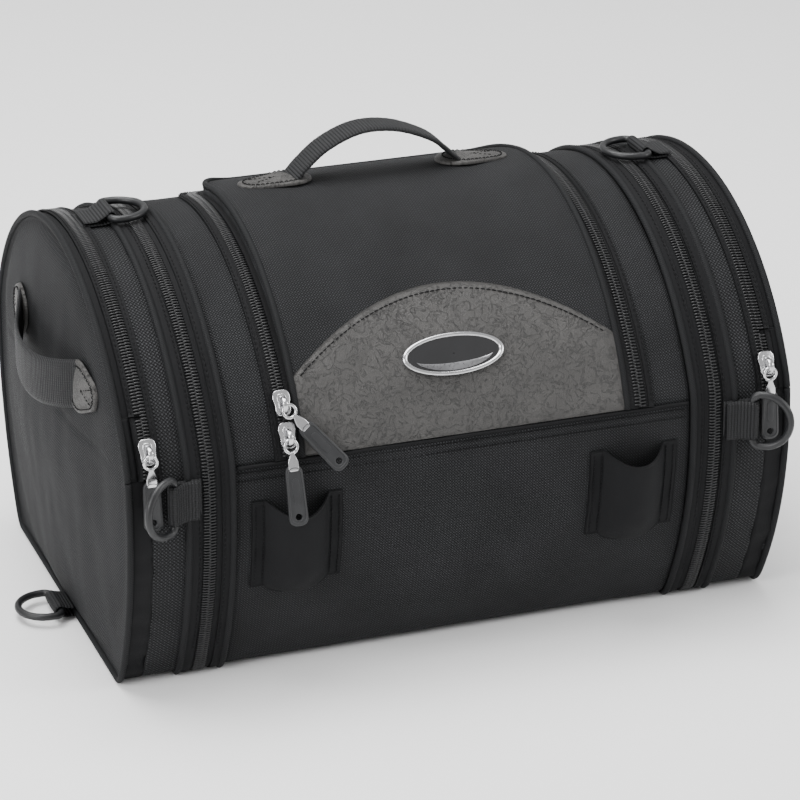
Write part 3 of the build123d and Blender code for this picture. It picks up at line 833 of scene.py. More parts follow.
def badge():
    """A plain oval badge: polished rim with a crescent, and a gloss black field."""
    s = s_at(BADGE_Z)
    rise = float(lid_top(np.array(BADGE_X), np.array(s))) + 1.1
    y, z, ny, nz = (float(v) for v in prof(s, rise))
    origin = (BADGE_X, y, z)
    x_axis, up = np.array([1.0, 0, 0]), np.cross([0, ny, nz], [1.0, 0, 0])
    a, b = 33.0, 13.5
    angles = np.linspace(0, 2 * math.pi, RIM_POINTS, endpoint=False)

    def ring(scale_a, scale_b, height, dx=0.0, dy=0.0):
        return np.stack([a * scale_a * np.cos(angles) + dx, b * scale_b * np.sin(angles) + dy,
                         np.full(RIM_POINTS, height)], -1)

    rim = [ring(1, 1, 0), ring(1.0, 1.0, 1.4), ring(0.985, 0.965, 2.2), ring(0.95, 0.90, 2.5),
           ring(0.915, 0.83, 2.2), ring(0.90, 0.80, 1.2)]
    local = np.concatenate(rim)
    faces = [f[::-1] for f in grid_faces(len(rim), RIM_POINTS, closed_cols=True)]
    obj = mesh("badge_rim", placed(local, origin, x_axis, up), faces, CHROME)
    keep(obj, "lid", "badge_metal", "badge_bezel")
    field = [ring(0.90, 0.80, 1.2)] + [ring(0.90 * k, 0.80 * k, 1.2 + 0.8 * (1 - k * k))
                                       for k in (0.97, 0.85, 0.65, 0.4, 0.2, 0.02)]
    obj = mesh("badge_field", placed(np.concatenate(field), origin, x_axis, up),
               [f[::-1] for f in grid_faces(len(field), RIM_POINTS, closed_cols=True)], BLACK_GLOSS)
    keep(obj, "lid", "badge_black", "badge_inlay")
    # a plain crescent along the lower edge of the field
    pile = Pile()
    t = np.linspace(0, 1, 40)
    ang = np.radians(200 + 140 * t)
    width = 2.3 * np.sin(math.pi * t) + 0.05
    mid = np.stack([a * 0.80 * np.cos(ang), b * 0.60 * np.sin(ang)], -1)
    tangent = np.gradient(mid, axis=0)
    tangent /= np.linalg.norm(tangent, axis=1)[:, None]
    side = np.stack([-tangent[:, 1], tangent[:, 0]], -1)
    rows = []
    for k in (-1, -0.5, 0, 0.5, 1):
        height = np.full(40, 1.75 + 0.35 * (1 - k * k))
        rows.append(np.column_stack([mid + side * width[:, None] * k, height]))
    pile.add(placed(np.concatenate(rows), origin, x_axis, up), grid_faces(5, 40))
    keep(pile.make("badge_crescents", PALE), "lid", "badge_metal")


def teardrop(length, width, steps=14):
    """Outline of a leather tab: round end at the origin, narrow end towards -x."""
    r, tip = width / 2, width * 0.32
    far = -length + r + tip
    lean = math.asin((r - tip) / abs(far))
    points = []
    for k in range(steps + 1):
        a = math.pi / 2 - lean * -1 - (math.pi + 2 * lean * -1 + 4 * lean) * k / steps
        points.append((r * math.cos(a), r * math.sin(a)))
    for k in range(steps + 1):
        a = -math.pi / 2 - lean - (math.pi - 2 * lean) * k / steps
        points.append((far + tip * math.cos(a), tip * math.sin(a)))
    return points


def tab_on(place, outline, thick=2.2):
    """A domed leather tab with turned edges, laid on a surface by place(x, y, height)."""
    points = np.array(outline)
    centre = points.mean(0)
    rows, heights = [], []
    profile = ((1.0, -0.6), (1.0, 0.7), (0.97, 1.3), (0.92, 1.6), (0.85, 1.45), (0.7, 1.75), (0.5, 2.0),
               (0.3, 2.1), (0.05, 2.15))
    for shrink, h in profile:
        rows.append((points - centre) * shrink + centre)
        heights.append(h * thick / 2.2)
    n, m = len(rows), len(points)
    verts = np.concatenate([place(p[:, 0], p[:, 1], np.full(m, h)) for p, h in zip(rows, heights)])
    return verts, grid_faces(n, m, closed_cols=True), np.concatenate(rows)


def tab_stitching(thread, place, length, width, height=2.0):
    """An edge row and a V of stitches on a tab."""
    outline = (np.array(teardrop(length, width)) - (-length * 0.28, 0)) * 0.82 + (-length * 0.28, 0)
    loop = np.concatenate([outline, outline[:1]])
    for path in (loop, np.array([(-length * 0.5, 5.5), (-length * 0.18, 0.0), (-length * 0.5, -5.5)])):
        fine, _ = resample(path, 1.5)
        points = place(fine[:, 0], fine[:, 1], np.full(len(fine), height))
        above = place(fine[:, 0], fine[:, 1], np.full(len(fine), height + 1.0))
        stitches(thread, points, above - points, pitch=3.0, length=2.2, radius=0.33)


TAB_Y, HANDLE_HALF, SIDE_HALF = 15.0, 56.0, 66.0


def lid_tab_place(side):
    def place(x, y, h):
        s = (TAB_Y + np.asarray(y)) * 1.0
        at = side * (HANDLE_HALF + 2 - np.asarray(x))
        return surf(at, s, lid_top(at, s) + h)
    return place


def strap(name, path, across, width, thick, ribs=True):
    """Flat webbing along a path: across is the strap's width direction, its edges slightly rounded."""
    path, across = np.asarray(path, float), np.asarray(across, float)
    across = np.broadcast_to(across, path.shape) / np.linalg.norm(across, axis=-1, keepdims=True)
    ahead = np.gradient(path, axis=0)
    ahead /= np.linalg.norm(ahead, axis=1)[:, None]
    up = np.cross(across, ahead)
    up /= np.linalg.norm(up, axis=1)[:, None]
    ring = []
    for w in np.linspace(-1, 1, 13):
        ring.append((w, 0.5 * (1 - abs(w) ** 6) ** 0.5 if abs(w) < 1 else 0.0))
    ring += [(w, -h) for w, h in ring[-2:0:-1]]
    ring = np.array(ring)
    wide = np.full(len(path), width / 2)
    along = np.concatenate([[0], np.cumsum(np.linalg.norm(np.diff(path, axis=0), axis=1))])
    wave = 1.0 + (0.10 * np.abs(np.sin(along * math.pi / 2.1)) if ribs else 0.0)
    verts = (path[:, None] + across[:, None] * (ring[None, :, :1] * wide[:, None, None])
             + up[:, None] * (ring[None, :, 1:] * thick * np.asarray(wave).reshape(-1, 1, 1)))
    n, m = len(path), len(ring)
    faces = grid_faces(n, m, closed_cols=True)
    faces += [tuple(range(m - 1, -1, -1)), tuple((n - 1) * m + k for k in range(m))]
    cloth = np.stack(np.broadcast_arrays(along[:, None], ring[None, :, 0] * width / 2), -1)
    return mesh(name, verts, faces, WEBBING, cloth)


def curve_through(points, count):
    """A smooth path through given points (Catmull-Rom)."""
    p = np.asarray(points, float)
    p = np.concatenate([[2 * p[0] - p[1]], p, [2 * p[-1] - p[-2]]])
    out = []
    spans = len(p) - 3
    for t in np.linspace(0, spans - 1e-9, count):
        i = int(t)
        u = t - i
        a, b, c, d = p[i], p[i + 1], p[i + 2], p[i + 3]
        out.append(0.5 * (2 * b + (c - a) * u + (2 * a - 5 * b + 4 * c - d) * u * u
                          + (3 * b - a - 3 * c + d) * u ** 3))
    return np.array(out)


def top_handle():
    lid_z = TOP_Z + TOP_R + 8.0
    arch = ((-61, 0.3), (-56, 1.8), (-49, 9), (-34, 21), (-12, 29.5), (12, 28.5), (36, 19), (49, 8),
            (56, 1.8), (61, 0.3))
    points = [(x, TAB_Y, lid_z + rise) for x, rise in arch]
    path = curve_through(points, 150)
    obj = strap("top_handle_webbing", path, (0, 1, 0), 25.0, 3.0)
    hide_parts("top_handle")
    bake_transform(obj)
    tabs, thread = Pile(), Pile()
    for side in (-1, 1):
        place = lid_tab_place(side)
        raised = lambda x, y, h, place=place: place(x, y, h + 2.0 * np.exp(-((np.asarray(x) - 2) / 16) ** 2))
        verts, faces, cloth = tab_on(raised, teardrop(48, 31))
        tabs.add(verts, faces if side < 0 else [f[::-1] for f in faces], cloth)
        tab_stitching(thread, raised, 48, 31)
    keep(tabs.make("handle_leather_tabs", LEATHER), "lid", "leather", "handle_tabs")
    keep(thread.make("handle_tab_stitches", THREAD), "lid", "leather")


# --- light pockets ---------------------------------------------------------------------------------
def light_pocket(side):
    """A pouch with stitched flanges, its mouth dipping in the middle."""
    name = side_name(side)
    centre = side * 110.0
    cols, rows = 61, 30
    u = np.linspace(-1, 1, cols)
    X, S, H = (np.zeros((cols, rows)) for _ in range(3))
    for i, a in enumerate(u):
        top = 127.0 - (8.5 * (1 - (abs(a) / 0.68) ** 2) if abs(a) < 0.68 else 0.0)
        low = 68.0 - (8.5 * (1 - (abs(a) / 0.68) ** 2) ** 0.5 if abs(a) < 0.68 else 0.0)
        z = np.linspace(low, top, rows)
        bulge = max(0.0, 1 - (abs(a) / 0.70) ** 2.2)
        t = np.linspace(0, 1, rows)
        X[i] = centre + a * 29.0
        S[i] = [s_at(v) for v in z]
        H[i] = 1.0 + bulge * (3.0 + 11.5 * np.sin(np.minimum(1.0, t * 2.4) * math.pi / 2)) * (0.9 + 0.1 * t)
        H[i] -= np.where(t < 0.04, bulge * 3.0, 0)
    points = np.stack([X.ravel(), S.ravel(), 0 * X.ravel()], -1)
    H = H + wobble(points, 13.0, 0.7, side * 4.0).reshape(H.shape)
    n, m = X.shape
    inner = surf(X, S, np.maximum(H - 1.6, 0.0))
    verts = np.concatenate([surf(X, S, H).reshape(-1, 3), inner.reshape(-1, 3)])
    faces = sheet_faces(n, m)
    cloth = np.stack([X, S], -1).reshape(-1, 2)
    pouch = mesh(f"{name}_light_pocket_cloth", verts, faces, SMOOTH, np.concatenate([cloth, cloth]))
    keep(pouch, "body", "binding_fabric", f"{name}_light_pocket")
    thread = Pile()
    z = span(69, 126, 2.0)
    s = np.array([s_at(v) for v in z])
    for x in (centre - 26.5, centre - 21.6, centre + 21.6, centre + 26.5):
        stitches(thread, surf(np.full(len(s), x), s, 1.35), normal(s), pitch=2.8, length=2.1, radius=0.3)
    keep(thread.make(f"{name}_light_pocket_stitches", THREAD), "body", "binding_fabric")


def front_seams():
    """The double row of stitches along the seam under the lid, and the seam's folded edge."""
    thread, fold = Pile(), Pile()
    x = span(-147, 147, 2.0)
    for drop in (4.0, 9.0):
        s = np.full(len(x), S_SEAM - drop)
        stitches(thread, surf(x, s, 0.25), normal(s))
    keep(thread.make("front_seam_stitches", THREAD), "body", "ballistic_nylon")
    path = surf(x, np.full(len(x), S_SEAM - 0.3), 0.35)
    path[:, 2] += wobble(path, 25.0, 0.4, 2.0)
    tube(fold, path, 1.1, sides=8)
    keep(fold.make("front_seam_fold", SMOOTH), "body", "binding_fabric")


def lid_piping():
    pile = Pile()
    plan, _ = resample(lid_plan(-1.6), 3.0)
    off = lid_top(plan[:, 0], plan[:, 1]) + 0.1
    tube(pile, surf(plan[:, 0], plan[:, 1], off), 2.0, sides=12)
    keep(pile.make("lid_piping_cord", TWILL), "lid", "piping", "lid_piping")


# --- the ends --------------------------------------------------------------------------------------
# the flap opens above the notch; the end wall is a shallow dome round its middle
NOTCH_Z, DOME_R, DOME_X, END_MIDDLE_Z = 184.0, 943.0, 226.0, 128.0
RIM_POINTS_END, END_PIPING_X, PIPING_R = 240, 214.6, 2.1


def end_sheet_x(y, z):
    """How far the end panel stands out at a point, as |x|."""
    reach = np.sqrt(np.maximum(DOME_R ** 2 - y ** 2 - (z - END_MIDDLE_Z) ** 2, 0)) - DOME_R
    return DOME_X + reach


def end_panel(side):
    """The soft end wall, one cloth with a slight crease along the flap's hinge line. Its rim follows the
    section.
    """
    name = side_name(side)
    ring = np.linspace(-S_MAX, S_MAX, RIM_POINTS_END, endpoint=False)
    rim = surf(0, ring, -0.6)[:, 1:]
    middle = np.array([0.0, END_MIDDLE_Z])
    rows = []
    for shrink in np.concatenate([[1.0, 0.99, 0.975, 0.95, 0.92], np.linspace(0.88, 0.01, 34)]):
        p = (rim - middle) * shrink + middle
        x = end_sheet_x(p[:, 0], p[:, 1])
        inset = 5.0 * (1 - np.clip((1 - shrink) / 0.12, 0, 1)) ** 2
        x = np.where(shrink > 0.985, 214.5, np.maximum(x - inset, 214.0))
        grow = np.clip((1 - shrink) / 0.2, 0, 1)
        pts = np.stack([p[:, 0], p[:, 1], 0 * x], -1)
        x = x + grow * (wobble(pts, 60.0, 3.0, side * 2.0) + wobble(pts * (1.0, 0.45, 1), 20.0, 0.9, 6.0))
        x = x - 0.8 * np.exp(-((p[:, 1] - 151) / 2.5) ** 2) * grow
        rows.append(np.stack([side * x, p[:, 0], p[:, 1]], -1))
    n, m = len(rows), RIM_POINTS_END
    outer = np.concatenate(rows)
    inner = outer.copy()
    inner[:, 0] = side * 211.6
    faces = grid_faces(n, m, closed_cols=True)
    if side > 0:
        faces = [f[::-1] for f in faces]
    faces = [f[::-1] for f in faces]
    faces += [tuple(i + n * m for i in f[::-1]) for f in faces]
    for j in range(m):
        k = (j + 1) % m
        quad = (j, k, k + n * m, j + n * m)
        faces.append(quad if side < 0 else quad[::-1])
    last = [(n - 1) * m + j for j in range(m)]
    faces += [tuple(last[::side]), tuple(k + n * m for k in last[::-side])]
    cloth = np.concatenate([outer[:, 1:], inner[:, 1:]])
    wall = mesh(f"{name}_end_wall", np.concatenate([outer, inner]), faces, NYLON, cloth)
    line_inside(wall, n * m)
    return wall


def finish_end_wall(wall, side):
    name = side_name(side)
    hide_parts(f"{name}_end_panel", f"{name}_flap_panel")
    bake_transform(wall)


def end_section(side):
    name = side_name(side)
    end, flap = f"{name}_end", f"{name}_flap"
    s_low, s_notch = s_at(SEAM_Z + 0.6), s_at(NOTCH_Z)
    s_back = s_at(SEAM_Z + 0.6, front=False)
    # woven gusset: full width below the end zipper, narrow above it
    xs = span(side * 165.4, side * 200.7, 3.0)
    low_xs = span(side * 200.7, side * 214.0, 2.6)
    slack = lambda X, S: pucker(X, S) * 0.7
    shell(f"{name}_gusset_band", np.sort(xs), span(-S_MAX, S_MAX, 3.0), GUSSET, end, "ballistic_nylon",
          [f"{name}_gusset"], lift=slack)

    def creased(X, S):
        points = np.stack([X.ravel() * 0.4, S.ravel(), X.ravel() * 0], -1)
        return wobble(points, 9.0, 1.3, 4.4).reshape(X.shape)

    for part, a, b in (("front", -S_MAX, s_low), ("back", s_back, S_MAX)):
        shell(f"{name}_gusset_corner_{part}", np.sort(low_xs), span(a, b, 2.5), SMOOTH, end,
              "ballistic_nylon", [], lift=creased)
    # rim strips: name, body, inner and outer x, x step, first and last s
    strips = (("rim_closed", end, 200.7, 207.8, 2.4, s_low, s_notch),
              ("flap_rim", flap, 201.3, 214.0, 2.6, s_notch + 0.4, s_back - 0.4),
              ("flap_rim_front", flap, 208.3, 214.0, 2.0, s_low, s_notch + 1.2))
    for part, body, inner, outer, step, a, b in strips:
        xs = np.sort(span(side * inner, side * outer, step))
        shell(f"{name}_{part}", xs, span(a, b, 2.5), SMOOTH, body, "zipper_tape", [])
    tapes, teeth, thread = Pile(), Pile(), Pile()
    cloth_strip(tapes, side * 165.3, side * 170.5, 0.6, 1.4, crown=0.1)
    cloth_strip(tapes, side * 170.0, side * 176.2, 1.4, 2.2)
    cloth_strip(tapes, side * 193.6, side * 197.4, 1.3, 2.0, s_low, s_back)
    cloth_strip(tapes, side * 197.0, side * 200.8, 0.6, 1.2, s_low, s_back, crown=0.1)
    chain_teeth(teeth, side * EXPANSION_X, side, -360, 360, 0.7)
    chain_teeth(teeth, side * END_ZIP_X, -side, s_low, s_back, 0.7)
    chain_teeth(teeth, side * END_ZIP_X, side, s_low, s_notch, 0.7)
    cloth_strip(tapes, side * 201.1, side * 205.3, 0.6, 1.2, s_low, s_notch, crown=0.1)
    cloth_strip(tapes, side * 205.0, side * 208.0, 1.3, 2.0, s_low, s_notch)
    seam_stitches(thread, side * 171.6, 1.75, -330, 330)
    seam_stitches(thread, side * 195.4, 1.6, s_low, s_back)
    keep(tapes.make(f"{name}_zip_tape_gusset", SMOOTH), end, "zipper_tape", f"{name}_zip_tapes")
    keep(teeth.make(f"{name}_zip_teeth_gusset", TEETH), end, "zipper_tape")
    keep(thread.make(f"{name}_gusset_stitches", THREAD), end, "zipper_tape")
    tapes, teeth, cords, thread = Pile(), Pile(), Pile(), Pile()
    cloth_strip(tapes, side * 201.3, side * 205.3, 0.6, 1.2, s_notch + 0.8, s_back - 0.8, crown=0.1)
    cloth_strip(tapes, side * 205.0, side * 208.4, 1.3, 2.0, s_notch + 0.8, s_back - 0.8)
    chain_teeth(teeth, side * END_ZIP_X, side, s_notch + 1, s_back - 1, 0.7)
    seam_stitches(thread, side * 206.8, 1.7, s_notch + 2, s_back - 2)
    keep(tapes.make(f"{name}_zip_tape_flap", SMOOTH), flap, "zipper_tape", f"{name}_flap_zip")
    keep(teeth.make(f"{name}_zip_teeth_flap", TEETH), flap, "zipper_tape")
    keep(thread.make(f"{name}_flap_stitches", THREAD), flap, "zipper_tape")
    piping_cord(cords, side * END_PIPING_X, s_low + 0.2, s_back - 0.2, off=0.4)
    keep(cords.make(f"{name}_flap_piping_cord", TWILL), flap, "piping", f"{name}_flap_piping")
    cords = Pile()
    piping_cord(cords, side * 178.2)
    lower = np.concatenate([span(s_back + 0.5, S_MAX, 3.0), span(-S_MAX, s_low - 0.5, 3.0)[1:]])
    path = surf(side * END_PIPING_X, lower, 0.4)
    path[:, 2] = np.maximum(path[:, 2], PIPING_R)
    tube(cords, path, PIPING_R, sides=12)
    keep(cords.make(f"{name}_end_piping_cords", TWILL), end, "piping", f"{name}_pipings")


def side_handle(side):
    name = side_name(side)
    flap, height, y0 = f"{name}_flap", 184.0, -12.0

    def place(x, y, h, way=1):
        yy, zz = y0 + way * (SIDE_HALF + 2 - np.asarray(x)), height + np.asarray(y)
        return np.stack([side * (end_sheet_x(yy, zz) + h), yy, zz], -1)

    tabs, thread = Pile(), Pile()
    for way in (-1, 1):
        def laid(x, y, h, way=way):
            swell = 2.0 * np.exp(-((np.asarray(x) - 2) / 16) ** 2)
            return place(x, y, np.asarray(h) + swell, way)

        verts, faces, cloth = tab_on(laid, teardrop(42, 33))
        tabs.add(verts, faces if way * side > 0 else [f[::-1] for f in faces], cloth)
        tab_stitching(thread, laid, 42, 33)
    keep(tabs.make(f"{name}_side_leather_tabs", LEATHER), flap, "leather", f"{name}_side_handle_tabs")
    keep(thread.make(f"{name}_side_tab_stitches", THREAD), flap, "leather")
    feet = [float(end_sheet_x(np.array(y0 + d), np.array(height))) for d in (-SIDE_HALF, SIDE_HALF)]
    arch = ((feet[0] + 1.0, -68, 0), (feet[0] + 3.0, -62, -0.5), (230, -50, -4), (237, -27, -9),
            (239.5, 0, -11), (237, 27, -9), (230, 50, -4), (feet[1] + 3.0, 62, -0.5), (feet[1] + 1.0, 68, 0))
    points = [(side * x, y0 + y, height + z) for x, y, z in arch]
    obj = strap(f"{name}_side_webbing", curve_through(points, 130), (0, 0, 1), 32.0, 3.0)
    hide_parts(f"{name}_side_handle")
    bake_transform(obj)


# --- D-rings and their loops ------------------------------------------------------------------------
RING_OFF = 5.5


def ring_loops(side):
    name = side_name(side)
    end = f"{name}_end"
    front_y = float(prof(s_at(135.0))[0])
    spots = {"top": ((side * 180.0, 5.0, TOP_Z + TOP_R), (0, 1, 0), (-side, 0, 0), (0, 0, 1), 14.0),
             "front": ((side * 188.0, front_y, 135.0), (0, 0, 1), (side, 0, 0), (0, -1, 0), 13.0),
             "bottom": ((side * 226.0, -12.0, 6.6 - RING_OFF), (0, 1, 0), (side, 0, 0), (0, 0, 1), 6.5)}
    thread = Pile()
    for spot, (base, along, out, up, tail) in spots.items():
        base, along, out, up = (np.array(v, float) for v in (base, along, out, up))
        flat = [base - out * (tail + 5 - k) + up * 1.1 for k in np.linspace(0, tail, 8)]
        turn = [base + up * RING_OFF + (out * math.sin(a) - up * math.cos(a)) * 3.6
                for a in np.linspace(0.15, math.pi * 1.02, 14)]
        back = [base - out * k + up * (RING_OFF + 3.6 - (RING_OFF + 0.2) * min(1.0, k / 9.0) ** 0.8)
                for k in np.linspace(1.5, tail + 3, 9)]
        if spot == "bottom":
            flat = flat[3:]
            back = [base - out * k + up * (RING_OFF + 3.2 - 2.2 * k / 9.0) for k in np.linspace(1.5, 9, 5)]
        path, _ = resample(np.array(flat + turn + back), 1.0)
        obj = strap(f"{name}_{spot}_ring_webbing", path, along, 26.0, 1.5, ribs=False)
        keep(obj, end, "webbing", *([f"{name}_ring_loops"] if spot == "top" else []))
        if spot != "bottom":
            for offset in (7.5, tail - 0.5):
                row = np.array([base - out * offset + up * (3.4 if offset < 9 else 2.9) + along * k
                                for k in np.linspace(-11, 11, 12)])
                stitches(thread, row, np.tile(up, (12, 1)), pitch=2.6, length=2.0, radius=0.33)
    keep(thread.make(f"{name}_ring_loop_stitches", THREAD), end, "webbing")
    for spot in ("top", "front", "bottom"):
        look(f"{name}_{spot}_ring", COATED)


def look(node, material):
    """A CAD node that shows as it is, in a new material."""
    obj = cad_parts[node]
    obj.data.materials.clear()
    obj.data.materials.append(material)


# --- sliders and pulls -----------------------------------------------------------------------------
SLIDER_OFF, PIVOT_H, END_SLIDER_ANGLE = 2.5, 5.6, 63.7


def arc_frame(x, angle, height):
    """Origin, X and Y directions on the front of the top arc; Y runs up along the surface."""
    a = math.radians(angle)
    r = TOP_R + height
    return (x, -r * math.sin(a), TOP_Z + r * math.cos(a)), (1, 0, 0), (0, math.cos(a), math.sin(a))


def slider_shape():
    """A zipper slider: waisted plate with a raised rib, and a closed bridge over the pivot."""
    outline = []
    for t in np.linspace(0, 2 * math.pi, 48, endpoint=False):
        y = 8.0 * math.sin(t)
        waist = 1.0 - 0.20 * math.exp(-((y + 1.0) / 3.4) ** 2) - 0.22 * max(0.0, -y / 8.0) ** 2
        edge = abs(math.cos(t)) ** 0.45 * (1 if math.cos(t) >= 0 else -1)
        outline.append((6.0 * edge * waist, 3.0 + y))
    pile = Pile()
    pile.add(*rounded_plate(outline, 2.0, 0.55))
    rib = [(0.55 * x, 3.0 + 0.7 * (y - 3.0)) for x, y in outline]
    verts, faces = rounded_plate(rib, 1.0, 0.45)
    pile.add(verts + (0, 0, 1.7), faces)
    steps = np.linspace(0, 1, 26)
    bridge = np.array([(0, 6.6 - 10.4 * t, 2.2 + 6.4 * math.sin(math.pi * min(1.0, t * 0.98 + 0.01)) ** 0.55)
                       for t in steps])
    ahead = np.gradient(bridge, axis=0)
    ahead /= np.linalg.norm(ahead, axis=1)[:, None]
    lift = np.cross(np.array([1.0, 0, 0]), ahead)
    ring = [(1.6 * math.cos(a), 0.62 * math.sin(a)) for a in np.linspace(0, 2 * math.pi, 14, endpoint=False)]
    verts = np.array([[p + np.array([1.0, 0, 0]) * u + l * v for u, v in ring] for p, l in zip(bridge, lift)])
    pile.add(verts, grid_faces(len(bridge), 14, closed_cols=True)
             + [tuple(range(13, -1, -1)), tuple(25 * 14 + k for k in range(14))])
    return np.concatenate(pile.verts), pile.faces


def link_shape():
    """The pull's metal part: a ring with a stem that flares into a crimp."""
    pile = Pile()
    a = np.linspace(0, 2 * math.pi, 40, endpoint=False)
    tube(pile, np.stack([4.0 * np.sin(a), -4.0 - 4.0 * np.cos(a), 0 * a], -1), 1.05, sides=12, closed=True)
    half = [(1.7, -7.4), (1.5, -9.0), (2.6, -11.5), (3.3, -13.5), (3.3, -17.5), (2.4, -19.0)]
    outline = half + [(-x, y) for x, y in half[::-1]]
    verts, faces = rounded_plate(outline, 2.9, 0.5)
    pile.add(verts - (0, 0, 1.45), faces)
    return np.concatenate(pile.verts), pile.faces


def tab_shape(reach):
    """The rubber tab: rounded, hollowed on both faces, with a hole near its tip."""
    length = reach - 15.0
    middle = -15.0 - length / 2
    widths = lambda y: 6.0 - 1.1 * max(0.0, (y - middle) / (length / 2)) ** 2
    outline = [(x / 6.0 * widths(y + middle), y + middle) for x, y in round_outline(12.0, length, 4.6, 8)]
    hole = [(2.0 * math.cos(a), -reach + 5.4 + 2.0 * math.sin(a))
            for a in np.linspace(0, 2 * math.pi, 18, endpoint=False)]
    pile = Pile()
    verts, faces = rounded_plate(outline, 2.4, 0.7, holes=[hole])
    pile.add(verts - (0, 0, 1.2), faces)
    # a raised border and a plain raised lozenge, where a real pull carries a mark
    inner = [(x * 0.80, middle + (y - middle) * 0.90) for x, y in outline]
    for face in (1.25, -1.25):
        border = np.array([(x, y, face) for x, y in inner])
        tube(pile, border, 0.34, sides=6, closed=True)
        lozenge = round_outline(4.6, length * 0.42, 2.2, 5)
        verts, faces = rounded_plate([(x, y + middle + 2.5) for x, y in lozenge], 0.6, 0.2)
        pile.add(verts + (0, 0, face - 0.3), faces)
    return np.concatenate(pile.verts), pile.faces


def pull_frame(x, angle, lean, turn):
    origin, _, _ = arc_frame(x, angle, SLIDER_OFF + PIVOT_H)
    lean, turn = math.radians(lean), math.radians(turn)
    up = np.array([0, math.sin(lean), math.cos(lean)])
    side = np.array([1.0, 0, 0])
    x_dir = math.cos(turn) * side + math.sin(turn) * up
    y_dir = -math.sin(turn) * side + math.cos(turn) * up
    return origin, x_dir, y_dir


def put(name, shape, spot, material, body, slot, *replaced):
    verts, faces = shape
    return keep(mesh(name, placed(verts, *spot), faces, material), body, slot, *replaced)


def flat_shade(obj):
    """Small machined pieces: smooth only across shallow angles."""
    for polygon in obj.data.polygons:
        polygon.use_smooth = True
    modifier = obj.modifiers.new("edges", "EDGE_SPLIT")
    modifier.split_angle = math.radians(40)


def sliders():
    made = []
    lid_sliders = (("upper", 57.7, 24, 38, "lid_slider"), ("lower", 64.3, 18, 0, "lid"))
    for part, angle, lean, turn, body in lid_sliders:
        spot = arc_frame(-LID_ZIP_X, angle, SLIDER_OFF)
        made.append(put(f"lid_slider_{part}_body", slider_shape(), spot, CHROME, body, "slider_metal",
                        f"lid_slider_{part}"))
        spot = pull_frame(-LID_ZIP_X, angle, lean, turn)
        ride = f"lid_pull_{part}"
        made.append(put(f"lid_pull_{part}_link", link_shape(), spot, CHROME, ride, "slider_metal",
                        f"lid_pull_link_{part}"))
        made.append(put(f"lid_pull_{part}_tab", tab_shape(52.0), spot, RUBBER, ride, "pull_rubber",
                        f"lid_pull_tab_{part}"))
    for side in (-1, 1):
        name = side_name(side)
        spot = arc_frame(side * END_ZIP_X, END_SLIDER_ANGLE, SLIDER_OFF)
        body = f"{name}_end_slider"
        made.append(put(f"{name}_end_slider_body", slider_shape(), spot, CHROME, body, "slider_metal", body))
        spot = pull_frame(side * END_ZIP_X, END_SLIDER_ANGLE, 4, 0)
        body = f"{name}_end_pull"
        made.append(put(f"{name}_end_pull_link", link_shape(), spot, CHROME, body, "slider_metal"))
        made.append(put(f"{name}_end_pull_tab", tab_shape(47.0), spot, RUBBER, body, "pull_rubber", body))
        s = s_at(59.5, front=False)
        y, z, ny, nz = (float(v) for v in prof(s, SLIDER_OFF))
        spot = ((side * EXPANSION_X, y, z), (-1, 0, 0), (0, -nz, ny))
        body = f"{name}_expansion_slider"
        made.append(put(f"{name}_expansion_slider_body", slider_shape(), spot, CHROME, body, "slider_metal",
                        body))
        verts, faces = rounded_plate(round_outline(6.5, 19, 2.8), 2.0, 0.6)
        lifted = (verts + (0, -6.5, 4.2), faces)
        made.append(put(f"{name}_expansion_pull", lifted, spot, RUBBER, body, "pull_rubber"))
    for obj in made:
        flat_shade(obj)


# --- the hidden pleats -----------------------------------------------------------------------------
def pleats(side):
    """The cloth folded inside an expansion zipper, which on the real bag opens out as the end slides."""
    name = side_name(side)
    pile = Pile()
    rows = []
    ring = np.linspace(-S_MAX, S_MAX, 160, endpoint=False)
    for k, t in enumerate(np.linspace(0, 1, 9)):
        rows.append(surf(side * (153.0 + 13.5 * t), ring, -4.0 - (2.6 if k % 2 else 0.0)))
    verts = np.concatenate(rows)
    cloth = np.concatenate([np.stack([np.full(160, 14.0 * k), ring], -1) for k in range(9)])
    faces = grid_faces(9, 160, closed_cols=True)
    both = faces + [tuple(i + len(verts) for i in f[::-1]) for f in faces]
    centre = np.array([0, 0, 125.0])
    inner = verts.copy()
    inner[:, 1:] = (inner[:, 1:] - centre[1:]) * 0.994 + centre[1:]
    for k in (0, 8):
        for j in range(160):
            a, b = k * 160 + j, k * 160 + (j + 1) % 160
            quad = (a, b, b + len(verts), a + len(verts))
            both.append(quad if k else quad[::-1])
    pile.add(np.concatenate([verts, inner]), both, np.concatenate([cloth, cloth]))
    obj = pile.make(f"{name}_expansion_pleat", SMOOTH)
    if side < 0:
        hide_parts("expansion_pleats")
    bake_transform(obj)


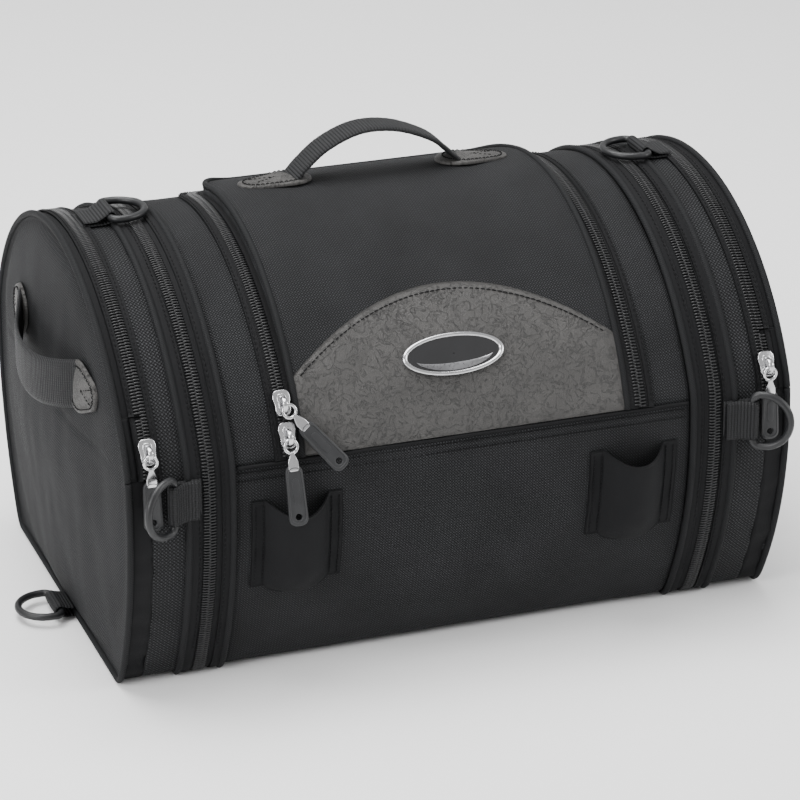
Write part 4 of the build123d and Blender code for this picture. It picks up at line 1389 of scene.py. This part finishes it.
# --- put together ----------------------------------------------------------------------------------
middle_section()
divider_walls()
middle_trim()
lid_zipper()
pad = lid_pad()
keep(pad, "lid", "ballistic_nylon", "lid_panel")
leather_patch()
lid_piping()
badge()
top_handle()
front_seams()
sliders()
for side in (-1, 1):
    light_pocket(side)
    end_section(side)
    finish_end_wall(end_panel(side), side)
    side_handle(side)
    ring_loops(side)
    pleats(side)


# --- floor, light and camera -----------------------------------------------------------------------
def studio():
    floor_look = Shader("pale_floor", Roughness=0.6)
    at = floor_look.place()
    tone = floor_look.noise(at, 3.0, 2.0)
    floor_look.done(floor_look.blend(tone, (0.86, 0.86, 0.86), (0.9, 0.9, 0.9)))
    verts, faces = [(-4000, -4000, 0), (4000, -4000, 0), (4000, 4000, 0), (-4000, 4000, 0)], [(0, 1, 2, 3)]
    floor = mesh("floor", verts, faces, floor_look.material, smooth=False)
    floor.location.z = -0.0005
    world = bpy.data.worlds.new("studio")
    bpy.context.scene.world = world
    world.use_nodes = True
    world.node_tree.nodes["Background"].inputs[0].default_value = (1, 1, 1, 1)
    world.node_tree.nodes["Background"].inputs[1].default_value = 0.75
    for name, spot, size, power in (("top", (-0.3, 0.3, 2.0), 1.6, 75), ("left", (-2.0, -1.0, 1.3), 1.2, 50),
                                    ("right", (1.9, -1.1, 1.2), 1.0, 28)):
        data = bpy.data.lights.new(name, "AREA")
        data.size, data.energy = size, power
        lamp = bpy.data.objects.new(name, data)
        bpy.context.scene.collection.objects.link(lamp)
        lamp.location = spot
        lamp.rotation_euler = (Vector((0, 0, 0.12)) - Vector(spot)).to_track_quat("-Z", "Y").to_euler()
    data = bpy.data.cameras.new("camera")
    data.lens, data.sensor_width = 159.8, 36.0
    camera = bpy.data.objects.new("camera", data)
    bpy.context.scene.collection.objects.link(camera)
    camera.location = (-0.7108, -2.0042, 1.0196)
    target = Vector((0.00975, -0.00715, 0.112))
    camera.rotation_euler = (target - camera.location).to_track_quat("-Z", "Y").to_euler()
    bpy.context.scene.camera = camera


studio()
